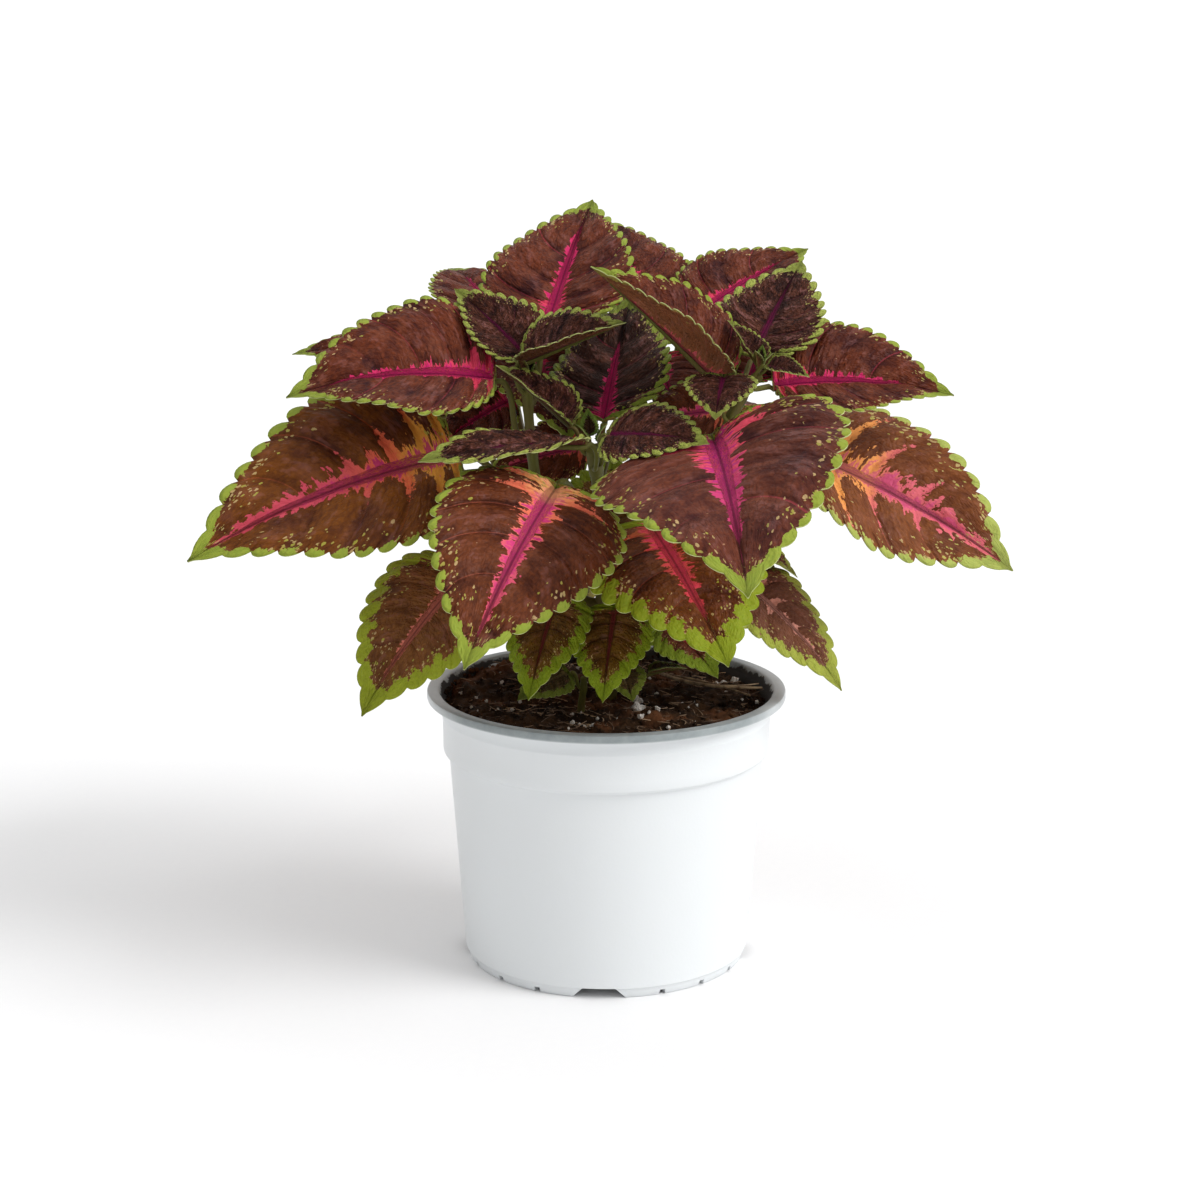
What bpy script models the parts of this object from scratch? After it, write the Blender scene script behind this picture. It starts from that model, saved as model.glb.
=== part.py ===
"""Potted coleus: a branching foliage plant with opposite, variegated leaves, in a plastic nursery pot.

The origin is on the pot's axis, on the surface that the pot stands on. +Z is up, and -Y is the front.
Sizes are in millimetres and degrees, and to_metres() turns them into metres where a mesh is made.
A heading is measured from +X towards +Y, and a pitch from level upwards.
"""

import math

import bmesh
import bpy
import numpy as np

# Driving dimensions of the pot
POT_HEIGHT = 100.4
RIM_RADIUS = 65.0
RIM_INNER_RADIUS = 60.2
RIM_LIP = 3.0
WALL = 1.2
COLLAR_RADIUS = 59.6
COLLAR_BOTTOM = 78.5
COLLAR_STEP = 1.8
BODY_TOP_RADIUS = 57.2
BODY_BOTTOM_RADIUS = 52.0
BODY_BOTTOM = 6.0
FOOT_RADIUS = 50.4
FOOT_WIDTH = 3.0
FOOT_HEIGHT = 4.2
POT_STEPS = 48

# Openings in the foot and the floor of the pot
NOTCH_HEADINGS = (-93, -3, 87, 177)
NOTCH_BOTTOM_WIDTH = 23.0
NOTCH_TOP_WIDTH = 11.5
SLOT_OFFSETS = (26, 45, 64)
SLOT_WIDTH = 3.0
SLOT_HEIGHT = 2.0
DRAIN_RADIUS = 4.0
DRAIN_CIRCLE = 30.0
DRAIN_COUNT = 6
DRAIN_SIDES = 16

# Soil and the fit between pieces
GAP = 0.3
SOIL_TOP = 94.5
SOIL_CROWN = 2.0
ROOT_DEPTH = 15.0

# Leaves: a stiff petiole that flattens into a thin blade
PETIOLE_THICKNESS = 2.2
BLADE_THICKNESS = 0.9
PETIOLE_CLEARANCE = 0.9
FOOT_HANDLE_SHARE = 0.35
BLADE_HANDLE_SHARE = 0.4
OUTLINE_BASE_POWER = 0.48
OUTLINE_TIP_POWER = 1.15
TIP_SHARE = 0.985

# How finely stems and leaves are divided. A leaf at least LARGE_LEAF wide gets more rows and columns.
STEM_POINTS = 13
CURVE_STEPS = 61
PETIOLE_ROWS = 3
LARGE_LEAF = 32
LARGE_GRID = (7, 4)
SMALL_GRID = (5, 2)
ROW_SPACING = 1.35

# The main stem: its foot, the handles at foot and tip, its tip, then its radius at the foot and at the tip
MAIN_STEM = ((0, 0, 79.5), (0, 0, 112), (1, -6, 160), (-5, -25, 192), 4.2, 2.0)

# Each side shoot: the height where it leaves the main stem, then its two handles, its tip and its two radii
SHOOTS = {
    "left": (132, (-22, -4, 132), (-27, -8, 185), (-28, -7, 213), 2.6, 1.6),
    "right": (126, (34, -10, 126), (34, -20, 204), (53, -19, 217), 2.8, 1.6),
    "rear_left": (124, (-18, 20, 124), (-30, 40, 175), (-38, 46, 216), 2.6, 1.6),
    "rear_right": (118, (14, 20, 118), (20, 46, 170), (28, 54, 222), 2.6, 1.6),
}
BASAL_SHOOT = ((-9, -20, 96.8), (-9, -20, 101), (-8, -22, 104), (-8, -23, 110), 1.5, 1.2)

# Each leaf: its age, the height where it leaves its stem, and where its blade starts (x, y, z); then the
# blade's heading, its pitch there, how far the pitch has dropped at the tip, its roll, and how far it twists
# by the tip; the upward fold of its halves, how far each half arches down again, its length and its width
LEAVES = {
    # The leading shoot, low leaves first
    "main_1": ("low", 118, (-17, -36, 143), -108, -38, 12, 5, 0, 5, 15, 43, 31),
    "main_2": ("low", 124, (3, -42, 141), -100, -42, 12, 0, 0, 5, 15, 38, 29),
    "main_3": ("low", 128, (-47, -28, 151), 219, -34, 20, -26, 0, 8, 15, 66, 50),
    "main_4": ("low", 120, (43, -6, 145), -27, -29, 24, 18, 0, 8, 15, 60, 37),
    "main_5": ("old", 146, (14, -34, 169), -58, -32, 15, 8, 0, 8, 14, 65, 68),
    "main_6": ("old", 165, (-17, -46, 183), -112, -22, 18, -20, 0, 14, 20, 89, 65),
    "main_7": ("mature", 184, (-1, -14, 200), 80, 38, 10, -6, 0, 14, 10, 69, 44),
    "main_8": ("young", 186, (-7, -36, 196), 200, 5, 15, 14, -50, 12, 10, 60, 32),
    "main_9": ("young", 187, (0, -35, 199), -31, 8, 15, 27, 0, 8, 10, 40, 34),
    "main_10": ("young", 190, (-12, -29, 201), 150, 34, 5, -8, 0, 38, 5, 36, 22),
    "main_11": ("young", 191, (-6, -21, 196), 100, 75, 10, 0, 0, 20, 5, 10, 7),
    # The left shoot
    "left_1": ("old", 170, (-52, -13, 188), 197, -8, 21, -38, 0, 16, 15, 102, 76),
    "left_2": ("mature", 192, (-39, -7, 214), 188, 10, 28, -28, 0, 19, 10, 74, 69),
    "left_3": ("mature", 204, (-22, 12, 227), 74, 40, 10, 0, 0, 16, 10, 75, 57),
    "left_4": ("young", 208, (-26, -3, 219), 138, 35, 8, -25, 0, 26, 10, 45, 30),
    "left_5": ("young", 209, (-30, -9, 220), -20, 22, 0, 20, 0, 32, 5, 42, 34),
    "left_6": ("mature", 188, (-33, 11, 204), 197, -20, 22, -36, 0, 12, 12, 34, 28),
    # The right shoot
    "right_1": ("old", 160, (62, -6, 190), -8, -18, 19, 12, 58, 16, 15, 93, 67),
    "right_2": ("mature", 182, (36, -43, 199), -86, -6, 24, 24, -21, 15, 15, 105, 87),
    "right_3": ("young", 201, (40, -29, 218), -99, -14, 20, 0, 0, 12, 10, 27, 25),
    "right_4": ("mature", 213, (58, -11, 212), 0, 8, 22, 32, 0, 22, 10, 64, 52),
    "right_5": ("mature", 205, (41, -17, 212), 182, 45, 5, -14, 0, 42, 5, 63, 48),
    "right_6": ("young", 212, (51, -5, 221), 62, 38, 5, 8, 0, 12, 8, 52, 42),
    "right_7": ("young", 215, (53, -16, 220), 143, 50, 5, 0, 0, 32, 5, 20, 15),
    "right_8": ("young", 215, (55, -25, 221), -25, -5, 10, 20, 0, 25, 5, 16, 12),
    "right_9": ("old", 190, (43, -1, 202), 172, -5, 10, -45, 0, 10, 10, 36, 30),
    "right_10": ("mature", 202, (51, 7, 210), 78, 42, 10, 0, 0, 12, 10, 28, 36),
    # The rear left shoot
    "rear_left_1": ("old", 165, (-60, 66, 190), 138, -6, 24, 0, 0, 12, 18, 92, 66),
    "rear_left_2": ("mature", 180, (-36, 70, 200), 98, 0, 25, 0, 0, 12, 18, 76, 54),
    "rear_left_3": ("mature", 195, (-62, 42, 215), 174, 10, 20, -19, 0, 12, 15, 55, 36),
    "rear_left_4": ("mature", 202, (-38, 56, 223), 113, 29, 25, 0, 0, 15, 10, 61, 46),
    "rear_left_5": ("young", 212, (-31, 46, 222), 20, 25, 10, 0, 0, 25, 5, 34, 24),
    "rear_left_6": ("young", 213, (-44, 41, 221), 215, 20, 10, 0, 0, 25, 5, 30, 22),
    "rear_left_7": ("mature", 196, (-28, 34, 219), -70, -24, 15, 0, 0, 12, 12, 52, 46),
    # The rear right shoot
    "rear_right_1": ("old", 160, (50, 72, 190), 55, -6, 24, 0, 0, 12, 18, 88, 64),
    "rear_right_2": ("mature", 175, (60, 52, 184), 24, -14, 22, 0, 0, 14, 15, 84, 58),
    "rear_right_3": ("mature", 192, (14, 76, 212), 105, 10, 25, 0, 0, 14, 15, 68, 50),
    "rear_right_4": ("mature", 206, (33, 38, 231), 36, 26, 9, 20, 0, 14, 10, 57, 44),
    "rear_right_5": ("mature", 210, (16, 46, 229), 110, 40, 20, 0, 0, 14, 10, 64, 46),
    "rear_right_6": ("young", 217, (34, 62, 230), 70, 35, 10, 0, 0, 25, 5, 34, 22),
    "rear_right_7": ("mature", 192, (19, 37, 216), -80, -20, 15, 0, 0, 12, 12, 34, 46),
    # Low leaves around the back of the main stem
    "main_12": ("low", 114, (-38, 16, 150), 168, -22, 22, 0, 0, 10, 15, 58, 45),
    "main_13": ("low", 110, (-3, 42, 146), 95, -25, 22, 0, 0, 10, 15, 62, 42),
    "main_14": ("low", 112, (40, 24, 144), 45, -24, 22, 0, 0, 10, 15, 50, 42),
    "main_15": ("low", 136, (41, 10, 158), -12, -22, 20, 0, 0, 10, 15, 34, 34),
    "main_16": ("low", 106, (20, -13, 129), -35, -32, 12, 14, 0, 10, 10, 30, 30),
    "main_17": ("low", 134, (2, 16, 152), 90, 38, 10, 0, 0, 12, 10, 44, 42),
    # Leaves that fill the middle of the plant
    "main_20": ("old", 172, (-6, 17, 186), 185, -8, 15, -45, 0, 10, 10, 40, 28),
    "main_21": ("low", 134, (5, -8, 144), -66, -34, 12, 0, 0, 8, 12, 25, 19),
    # Small leaves close to the soil
    "main_18": ("low", 102, (15, -17, 110), 8, 12, 15, 0, 0, 25, 5, 14, 11),
    "main_19": ("low", 101, (4, -20, 113), -72, -20, 12, 0, 0, 10, 5, 19, 17),
    "basal_1": ("low", 106, (-13, -28, 113), 208, -10, 20, -26, 0, 10, 10, 22, 19),
}

FINISHES = {
    "white_plastic": ((0.82, 0.84, 0.86), 0.45),
    "peat": ((0.045, 0.028, 0.02), 0.95),
    "stem_green": ((0.22, 0.27, 0.07), 0.55),
    "low": ((0.22, 0.24, 0.04), 0.5),
    "old": ((0.16, 0.045, 0.025), 0.5),
    "mature": ((0.09, 0.018, 0.02), 0.5),
    "young": ((0.045, 0.012, 0.022), 0.5),
}


def to_metres(points):
    return np.asarray(points, float) * 0.001


def level(heading):
    """The level unit vector of a heading in degrees."""
    return np.array([math.cos(math.radians(heading)), math.sin(math.radians(heading)), 0.0])


def new_material(name, finish):
    colour, roughness = FINISHES[finish]
    material = bpy.data.materials.new(name)
    material.use_nodes = True
    shader = material.node_tree.nodes["Principled BSDF"]
    shader.inputs["Base Color"].default_value = (*colour, 1)
    shader.inputs["Roughness"].default_value = roughness
    return material


def add_object(name, data, finish, collection):
    piece = bpy.data.objects.new(name, data)
    collection.objects.link(piece)
    if finish:
        data.materials.append(new_material(name + "_finish", finish))
    return piece


def cubic(foot, foot_handle, tip_handle, tip, count):
    """Points along one cubic Bezier curve."""
    t = np.linspace(0, 1, count)[:, None]
    ends = (1 - t) ** 3 * np.array(foot, float) + t**3 * np.array(tip, float)
    handles = (1 - t) * np.array(foot_handle, float) + t * np.array(tip_handle, float)
    return ends + 3 * (1 - t) * t * handles


def turned(name, profile, finish, collection):
    """A profile of (radius, height) pairs turned round the Z axis."""
    mesh = bpy.data.meshes.new(name)
    points = to_metres([(radius, 0, height) for radius, height in profile])
    mesh.from_pydata(points.tolist(), [(i, i + 1) for i in range(len(profile) - 1)], [])
    piece = add_object(name, mesh, finish, collection)
    screw = piece.modifiers.new("Turn", "SCREW")
    screw.steps = screw.render_steps = POT_STEPS
    screw.use_merge_vertices = True
    screw.merge_threshold = 0.00001
    screw.use_smooth_shade = False
    return piece


def wedge_cutter(name, heading, bottom_width, top_width, height, collection):
    """A block with sloping sides that cuts one opening through the foot ring from outside."""
    mesh = bpy.data.meshes.new(name)
    shape = bmesh.new()
    bmesh.ops.create_cube(shape, size=1)
    for vert in shape.verts:
        width = bottom_width if vert.co.z < 0 else top_width
        radius = FOOT_RADIUS - FOOT_WIDTH - 3 if vert.co.x < 0 else FOOT_RADIUS + 8
        low = -2 if vert.co.z < 0 else height
        vert.co = to_metres((radius, math.copysign(width / 2, vert.co.y), low))
    shape.to_mesh(mesh)
    shape.free()
    cutter = add_object(name, mesh, None, collection)
    cutter.rotation_euler.z = math.radians(heading)
    return cutter


def drain_cutter(name, heading, collection):
    mesh = bpy.data.meshes.new(name)
    shape = bmesh.new()
    radius = DRAIN_RADIUS * 0.001
    bmesh.ops.create_cone(
        shape, cap_ends=True, segments=DRAIN_SIDES, radius1=radius, radius2=radius, depth=0.02
    )
    shape.to_mesh(mesh)
    shape.free()
    cutter = add_object(name, mesh, None, collection)
    cutter.location = to_metres(DRAIN_CIRCLE * level(heading))
    return cutter


def make_pot(pieces, cutters):
    """Thin injection-moulded pot: rolled rim, straight collar, tapered body, raised floor on a foot ring."""
    floor_top = FOOT_HEIGHT + WALL
    foot_inner = FOOT_RADIUS - FOOT_WIDTH
    inside = [
        (0, floor_top),
        (BODY_BOTTOM_RADIUS - WALL - 1.5, floor_top),
        (BODY_BOTTOM_RADIUS - WALL, floor_top + 1.5),
        (BODY_TOP_RADIUS - WALL, COLLAR_BOTTOM - COLLAR_STEP),
        (COLLAR_RADIUS - WALL, COLLAR_BOTTOM + 1),
        (COLLAR_RADIUS - WALL + 0.2, POT_HEIGHT - RIM_LIP),
        (RIM_INNER_RADIUS, POT_HEIGHT - 0.8),
        (RIM_INNER_RADIUS + 0.6, POT_HEIGHT),
    ]
    outside = [
        (RIM_RADIUS - 0.6, POT_HEIGHT),
        (RIM_RADIUS, POT_HEIGHT - 0.6),
        (RIM_RADIUS, POT_HEIGHT - RIM_LIP + 0.4),
        (RIM_RADIUS - 0.5, POT_HEIGHT - RIM_LIP),
        (COLLAR_RADIUS + 0.3, POT_HEIGHT - RIM_LIP - 0.3),
        (COLLAR_RADIUS, POT_HEIGHT - RIM_LIP - 4),
        (COLLAR_RADIUS - 0.3, COLLAR_BOTTOM),
        (BODY_TOP_RADIUS, COLLAR_BOTTOM - COLLAR_STEP),
        (BODY_BOTTOM_RADIUS, BODY_BOTTOM),
        (BODY_BOTTOM_RADIUS - 0.5, 2.5),
        (FOOT_RADIUS, 0),
        (foot_inner, 0),
        (foot_inner - 0.4, FOOT_HEIGHT),
        (0, FOOT_HEIGHT),
    ]
    pot = turned("pot", inside + outside, "white_plastic", pieces)
    notch = (NOTCH_BOTTOM_WIDTH, NOTCH_TOP_WIDTH, FOOT_HEIGHT - 0.2)
    slot = (SLOT_WIDTH, SLOT_WIDTH - 1, SLOT_HEIGHT)
    openings = []
    for number, heading in enumerate(NOTCH_HEADINGS, 1):
        openings.append(wedge_cutter(f"cut_notch_{number}", heading, *notch, cutters))
        for offset in SLOT_OFFSETS:
            openings.append(wedge_cutter(f"cut_slot_{number}_{offset}", heading + offset, *slot, cutters))
    for number in range(DRAIN_COUNT):
        openings.append(drain_cutter(f"cut_drain_{number + 1}", number * 360 / DRAIN_COUNT, cutters))
    for cutter in openings:
        cut = pot.modifiers.new(cutter.name, "BOOLEAN")
        cut.object = cutter
        cut.operation = "DIFFERENCE"


def make_soil(pieces):
    """Peat that fills the pot, slightly crowned, with a pit that the foot of the main stem stands in."""
    pit = MAIN_STEM[4] + 2 * GAP
    low = FOOT_HEIGHT + WALL + GAP
    foot_radius = BODY_BOTTOM_RADIUS - WALL - 2
    shoulder = COLLAR_BOTTOM - 3
    body_heights = (BODY_BOTTOM, COLLAR_BOTTOM - COLLAR_STEP)
    body_radius = np.interp(shoulder, body_heights, (BODY_BOTTOM_RADIUS, BODY_TOP_RADIUS))
    shoulder_radius = body_radius - WALL - 2 * GAP
    profile = [
        (0, SOIL_TOP - ROOT_DEPTH - GAP),
        (pit, SOIL_TOP - ROOT_DEPTH - GAP),
        (pit, SOIL_TOP + SOIL_CROWN),
        (30, SOIL_TOP + SOIL_CROWN * 0.6),
        (shoulder_radius + 0.5, SOIL_TOP - 0.5),
        (shoulder_radius + 0.5, COLLAR_BOTTOM + 2),
        (shoulder_radius, shoulder),
        (foot_radius, low + 2),
        (foot_radius - 2, low),
        (0, low),
    ]
    turned("soil", profile, "peat", pieces)


def beside(line, radii, height, target, clearance):
    """A point clear of a stem's side at a height, and the direction square out from there to the target."""
    centre = np.array([np.interp(height, line[:, 2], line[:, i]) for i in range(3)])
    upper = np.searchsorted(line[:, 2], height)
    along = line[upper] - line[upper - 1]
    along /= np.linalg.norm(along)
    outward = np.array(target, float) - centre
    outward -= along * outward.dot(along)
    outward /= np.linalg.norm(outward)
    return centre + outward * (np.interp(height, line[:, 2], radii) + clearance), outward


def stem_lines():
    """Each stem's centre line and radii, by name. A side shoot starts square to the main stem's side."""
    lines = {}
    for name, stem in (("main", MAIN_STEM), ("basal", BASAL_SHOOT)):
        lines[name] = cubic(*stem[:4], STEM_POINTS), np.linspace(*stem[4:], STEM_POINTS)
    for name, (height, foot_handle, tip_handle, tip, foot_radius, tip_radius) in SHOOTS.items():
        foot, outward = beside(*lines["main"], height, foot_handle, GAP + 0.1)
        handle = foot + outward * (np.array(foot_handle) - foot).dot(outward)
        radii = np.linspace(foot_radius, tip_radius, STEM_POINTS)
        lines[name] = cubic(foot, handle, tip_handle, tip, STEM_POINTS), radii
    return lines


def make_stem(name, line, radii, pieces):
    curve = bpy.data.curves.new("stem_" + name, "CURVE")
    curve.dimensions = "3D"
    curve.bevel_depth = 0.001
    curve.bevel_resolution = 1
    curve.use_fill_caps = True
    spline = curve.splines.new("POLY")
    spline.points.add(len(line) - 1)
    for point, place, radius in zip(spline.points, to_metres(line), radii):
        point.co = (*place, 1)
        point.radius = radius
    add_object("stem_" + name, curve, "stem_green", pieces)


def blade_half_width(along, width):
    """Half the blade's width at a share of its length: round at the base, drawn out at the tip."""
    peak = OUTLINE_BASE_POWER / (OUTLINE_BASE_POWER + OUTLINE_TIP_POWER)
    highest = peak**OUTLINE_BASE_POWER * (1 - peak) ** OUTLINE_TIP_POWER
    return width / 2 * along**OUTLINE_BASE_POWER * (1 - along) ** OUTLINE_TIP_POWER / highest


def along_line(values, share):
    """Reads a row of points or directions at shares of its length."""
    steps = np.linspace(0, 1, len(values))
    return np.stack([np.interp(share, steps, values[:, i]) for i in range(3)], axis=-1)


def blade_surface(leaf, along, across):
    """Places shares of the length and of the half width on the curved blade.

    Gives the points, the blade's side direction at each, and its forward direction where it starts.
    """
    start, heading, pitch, droop, roll, twist, fold, arch, length, width = leaf[2:]
    steps = np.linspace(0, 1, CURVE_STEPS)
    pitches = np.radians(pitch - droop * steps)
    forward = np.cos(pitches)[:, None] * level(heading)
    forward[:, 2] = np.sin(pitches)
    middles = (forward[1:] + forward[:-1]) / 2 * length / (len(steps) - 1)
    midrib = np.array(start, float) + np.vstack([np.zeros(3), np.cumsum(middles, axis=0)])
    above = np.cross(forward, level(heading + 90))
    lean = np.radians(roll + twist * steps)[:, None]
    across_heading = level(heading + 90)
    side = along_line(across_heading * np.cos(lean) + above * np.sin(lean), along)
    normal = along_line(above * np.cos(lean) - across_heading * np.sin(lean), along)
    half = np.maximum(blade_half_width(np.minimum(along, TIP_SHARE), width), PETIOLE_THICKNESS / 2)
    curl = math.radians(arch) / (width / 2)
    rise = math.radians(fold)
    slope = rise - curl * np.abs(across) * half
    out = np.sign(across) * (math.sin(rise) - np.sin(slope)) / curl
    up = (np.cos(slope) - math.cos(rise)) / curl
    return along_line(midrib, along) + side * out[:, None] + normal * up[:, None], side, forward[0]


def leaf_surface(leaf, line, radii, rows, across, petiole_share):
    """Places a strip's rows, from 0 at the stem to 1 at the tip, on the leaf's middle surface.

    Gives the points, and which of them are on the petiole.
    """
    start = np.array(leaf[2], float)
    foot, outward = beside(line, radii, leaf[1], start, PETIOLE_CLEARANCE)
    along = np.clip((rows - petiole_share) / (1 - petiole_share), 0, 1) ** ROW_SPACING
    points, side, first = blade_surface(leaf, along, across)
    reach = np.linalg.norm(start - foot)
    foot_handle = foot + outward * reach * FOOT_HANDLE_SHARE
    blade_handle = start - first * reach * BLADE_HANDLE_SHARE
    bend = cubic(foot, foot_handle, blade_handle, start, CURVE_STEPS)
    share = np.clip(rows / petiole_share, 0, 1)
    foot_side = np.array([-outward[1], outward[0], 0.0])
    stalk_side = foot_side * (1 - share[:, None]) + side * share[:, None]
    stalk_side /= np.linalg.norm(stalk_side, axis=1)[:, None]
    stalk = along_line(bend, share) + stalk_side * (across * PETIOLE_THICKNESS / 2)[:, None]
    on_petiole = rows < petiole_share - 0.001
    points[on_petiole] = stalk[on_petiole]
    return points, on_petiole


def make_leaf(name, leaf, line, radii, pieces):
    """One leaf: a flat strip laid along petiole and blade, then thickened."""
    blade_rows, columns = LARGE_GRID if leaf[-1] >= LARGE_LEAF else SMALL_GRID
    rows = PETIOLE_ROWS + blade_rows
    mesh = bpy.data.meshes.new("leaf_" + name)
    shape = bmesh.new()
    bmesh.ops.create_grid(shape, x_segments=rows, y_segments=columns, size=1)
    flat = np.array([vert.co for vert in shape.verts])
    shares = (flat[:, 0] + 1) / 2
    points, on_petiole = leaf_surface(leaf, line, radii, shares, flat[:, 1], PETIOLE_ROWS / rows)
    for vert, point in zip(shape.verts, to_metres(points)):
        vert.co = point
    shape.to_mesh(mesh)
    shape.free()
    piece = add_object("leaf_" + name, mesh, leaf[0], pieces)
    group = piece.vertex_groups.new(name="petiole")
    group.add(np.flatnonzero(on_petiole).tolist(), 1.0, "REPLACE")
    wall = piece.modifiers.new("Thickness", "SOLIDIFY")
    wall.thickness = PETIOLE_THICKNESS * 0.001
    wall.offset = 0
    wall.vertex_group = group.name
    wall.thickness_vertex_group = BLADE_THICKNESS / PETIOLE_THICKNESS


for old in list(bpy.data.objects):
    bpy.data.objects.remove(old, do_unlink=True)
plant = bpy.data.collections.new("potted_coleus")
tools = bpy.data.collections.new("cutters")
tools.hide_render = True
for group in (plant, tools):
    bpy.context.scene.collection.children.link(group)

make_pot(plant, tools)
make_soil(plant)
stems = stem_lines()
for stem_name, stem_line in stems.items():
    make_stem(stem_name, *stem_line, plant)
for leaf_name, leaf_values in LEAVES.items():
    make_leaf(leaf_name, leaf_values, *stems[leaf_name.rsplit("_", 1)[0]], plant)
for cutter in tools.objects:
    cutter.hide_render = True
    cutter.display_type = "WIRE"
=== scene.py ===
"""Potted coleus: a young branching coleus with maroon, lime-edged leaves, in a white plastic nursery pot.

The CAD part gives every place and size. This script gives the looks: each piece is made at its place in
the part's own frame, in metres, and stands for its CAD node. Sizes are written in millimetres and degrees.
"""

import math
import random

import bpy
import numpy as np
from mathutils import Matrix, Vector, noise


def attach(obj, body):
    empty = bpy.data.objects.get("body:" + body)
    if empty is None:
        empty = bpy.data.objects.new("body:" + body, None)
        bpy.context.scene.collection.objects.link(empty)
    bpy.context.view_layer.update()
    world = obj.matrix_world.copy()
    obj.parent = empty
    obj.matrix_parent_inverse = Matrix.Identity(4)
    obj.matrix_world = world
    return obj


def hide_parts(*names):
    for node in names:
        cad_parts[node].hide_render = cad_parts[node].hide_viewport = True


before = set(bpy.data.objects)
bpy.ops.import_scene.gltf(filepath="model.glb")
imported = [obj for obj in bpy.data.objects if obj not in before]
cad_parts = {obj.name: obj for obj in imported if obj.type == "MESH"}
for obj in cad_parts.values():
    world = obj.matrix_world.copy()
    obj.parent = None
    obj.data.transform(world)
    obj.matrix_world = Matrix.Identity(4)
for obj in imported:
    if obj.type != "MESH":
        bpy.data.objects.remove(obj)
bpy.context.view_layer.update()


# ----------------------------
# Pot: a thin-walled nursery pot, injection moulded in white polypropylene with a little blue in it. A rolled
# rim stiffens it, a straight collar below the rim stops stacked pots from jamming, and it stands on a foot
# ring with four drain notches and small slots. The rim's top is painted grey, as painted shade from the
# leaves above.

POT_SIDES = 160
POT_RIM = 65.0
POT_HEIGHT = 100.4
FOOT_RING = 50.4
NOTCH = (23, 11.5, 4)
NOTCH_HEADINGS = (-93, -3, 87, 177)
SLOT = (3, 2, 2)
SLOT_OFFSETS = (26, 45, 64)
DRAIN_HOLES = 6
DRAIN_REACH = 30
DRAIN_RADIUS = 4
POT_WHITE = (0.745, 0.77, 0.78)
POT_SHADED = (0.69, 0.725, 0.74)
RIM_PAINTED_SHADE = (0.22, 0.255, 0.26)
PEAT_STAIN_AND_SHADE = (0.016, 0.010, 0.006)


def mm(*lengths):
    """Millimetres to metres."""
    return lengths[0] * 0.001 if len(lengths) == 1 else tuple(length * 0.001 for length in lengths)


def deselect():
    bpy.ops.object.select_all(action="DESELECT")


def select_only(piece):
    deselect()
    piece.select_set(True)
    bpy.context.view_layer.objects.active = piece


def apply_modifiers(piece):
    select_only(piece)
    for modifier in list(piece.modifiers):
        bpy.ops.object.modifier_apply(modifier=modifier.name)


def points_of(piece):
    """The vertices of a piece in millimetres, one row each."""
    flat = np.empty(len(piece.data.vertices) * 3)
    piece.data.vertices.foreach_get("co", flat)
    return flat.reshape(-1, 3) * 1000


def place_points(piece, points):
    piece.data.vertices.foreach_set("co", (np.asarray(points) * 0.001).ravel())
    piece.data.update()


def close_mesh(sharp_angle):
    """Leaves edit mode with all faces pointing outwards, and smooths edges below an angle."""
    bpy.ops.mesh.select_all(action="SELECT")
    bpy.ops.mesh.normals_make_consistent(inside=False)
    bpy.ops.object.mode_set(mode="OBJECT")
    bpy.ops.object.shade_smooth_by_angle(angle=math.radians(sharp_angle))


def turned(name, rings, sides):
    """A closed lathe shape: a disc is extruded and resized from ring to ring of (radius, height)."""
    deselect()
    bpy.ops.mesh.primitive_circle_add(vertices=sides, radius=mm(rings[0][0]), fill_type="TRIFAN")
    piece = bpy.context.object
    piece.name = piece.data.name = name
    bpy.ops.object.mode_set(mode="EDIT")
    bpy.ops.mesh.select_all(action="SELECT")
    bpy.ops.transform.translate(value=mm(0, 0, rings[0][1]))
    for (last_radius, last_height), (radius, height) in zip(rings, rings[1:]):
        bpy.ops.mesh.extrude_region_move(TRANSFORM_OT_translate={"value": mm(0, 0, height - last_height)})
        bpy.ops.transform.resize(value=(radius / last_radius, radius / last_radius, 1))
    close_mesh(40)
    return piece


def cut(piece, cutters):
    for cutter in cutters:
        opening = piece.modifiers.new(cutter.name, "BOOLEAN")
        opening.object = cutter
        opening.operation = "DIFFERENCE"
    apply_modifiers(piece)
    for cutter in cutters:
        bpy.data.objects.remove(cutter)


def wedge(heading, bottom_width, top_width, height):
    """A tapered block that cuts one opening through the foot ring."""
    deselect()
    bpy.ops.mesh.primitive_cube_add(size=1)
    block = bpy.context.object
    points = points_of(block)
    width = np.where(points[:, 2] < 0, bottom_width, top_width)
    reach = np.where(points[:, 0] < 0, FOOT_RING - 6, FOOT_RING + 8)
    points[:, 1] = np.sign(points[:, 1]) * width / 2
    points[:, 2] = np.where(points[:, 2] < 0, -2, height)
    turn = math.radians(heading)
    across = points[:, 1].copy()
    points[:, 1] = reach * math.sin(turn) + across * math.cos(turn)
    points[:, 0] = reach * math.cos(turn) - across * math.sin(turn)
    place_points(block, points)
    return block


foot = [(20, 4.2), (46.8, 4.2), (47.3, 3.8), (47.4, 0.4), (47.7, 0), (50.1, 0), (50.5, 0.3), (51.1, 2.2)]
foot += [(51.5, 3.6), (51.9, 3.9), (52.0, 6)]
body = [(52 + 5.2 * share / 7, 6 + 70.7 * share / 7) for share in range(1, 8)]
collar = [(57.3, 77.0), (58.3, 77.7), (59.1, 78.2), (59.3, 78.8), (59.35, 82), (59.5, 90.9)]
collar += [(59.72, 91.3), (59.75, 91.8), (59.6, 92.2), (59.65, 95.9), (59.9, 96.7), (60.6, 97.1)]
rim = [(64.2, 97.3), (64.8, 97.5), (POT_RIM, 98), (POT_RIM, 99.7), (64.8, 100.2), (64.3, POT_HEIGHT)]
rim += [(61.4, POT_HEIGHT), (60.7, 100.2), (60.2, 99.5)]
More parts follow.
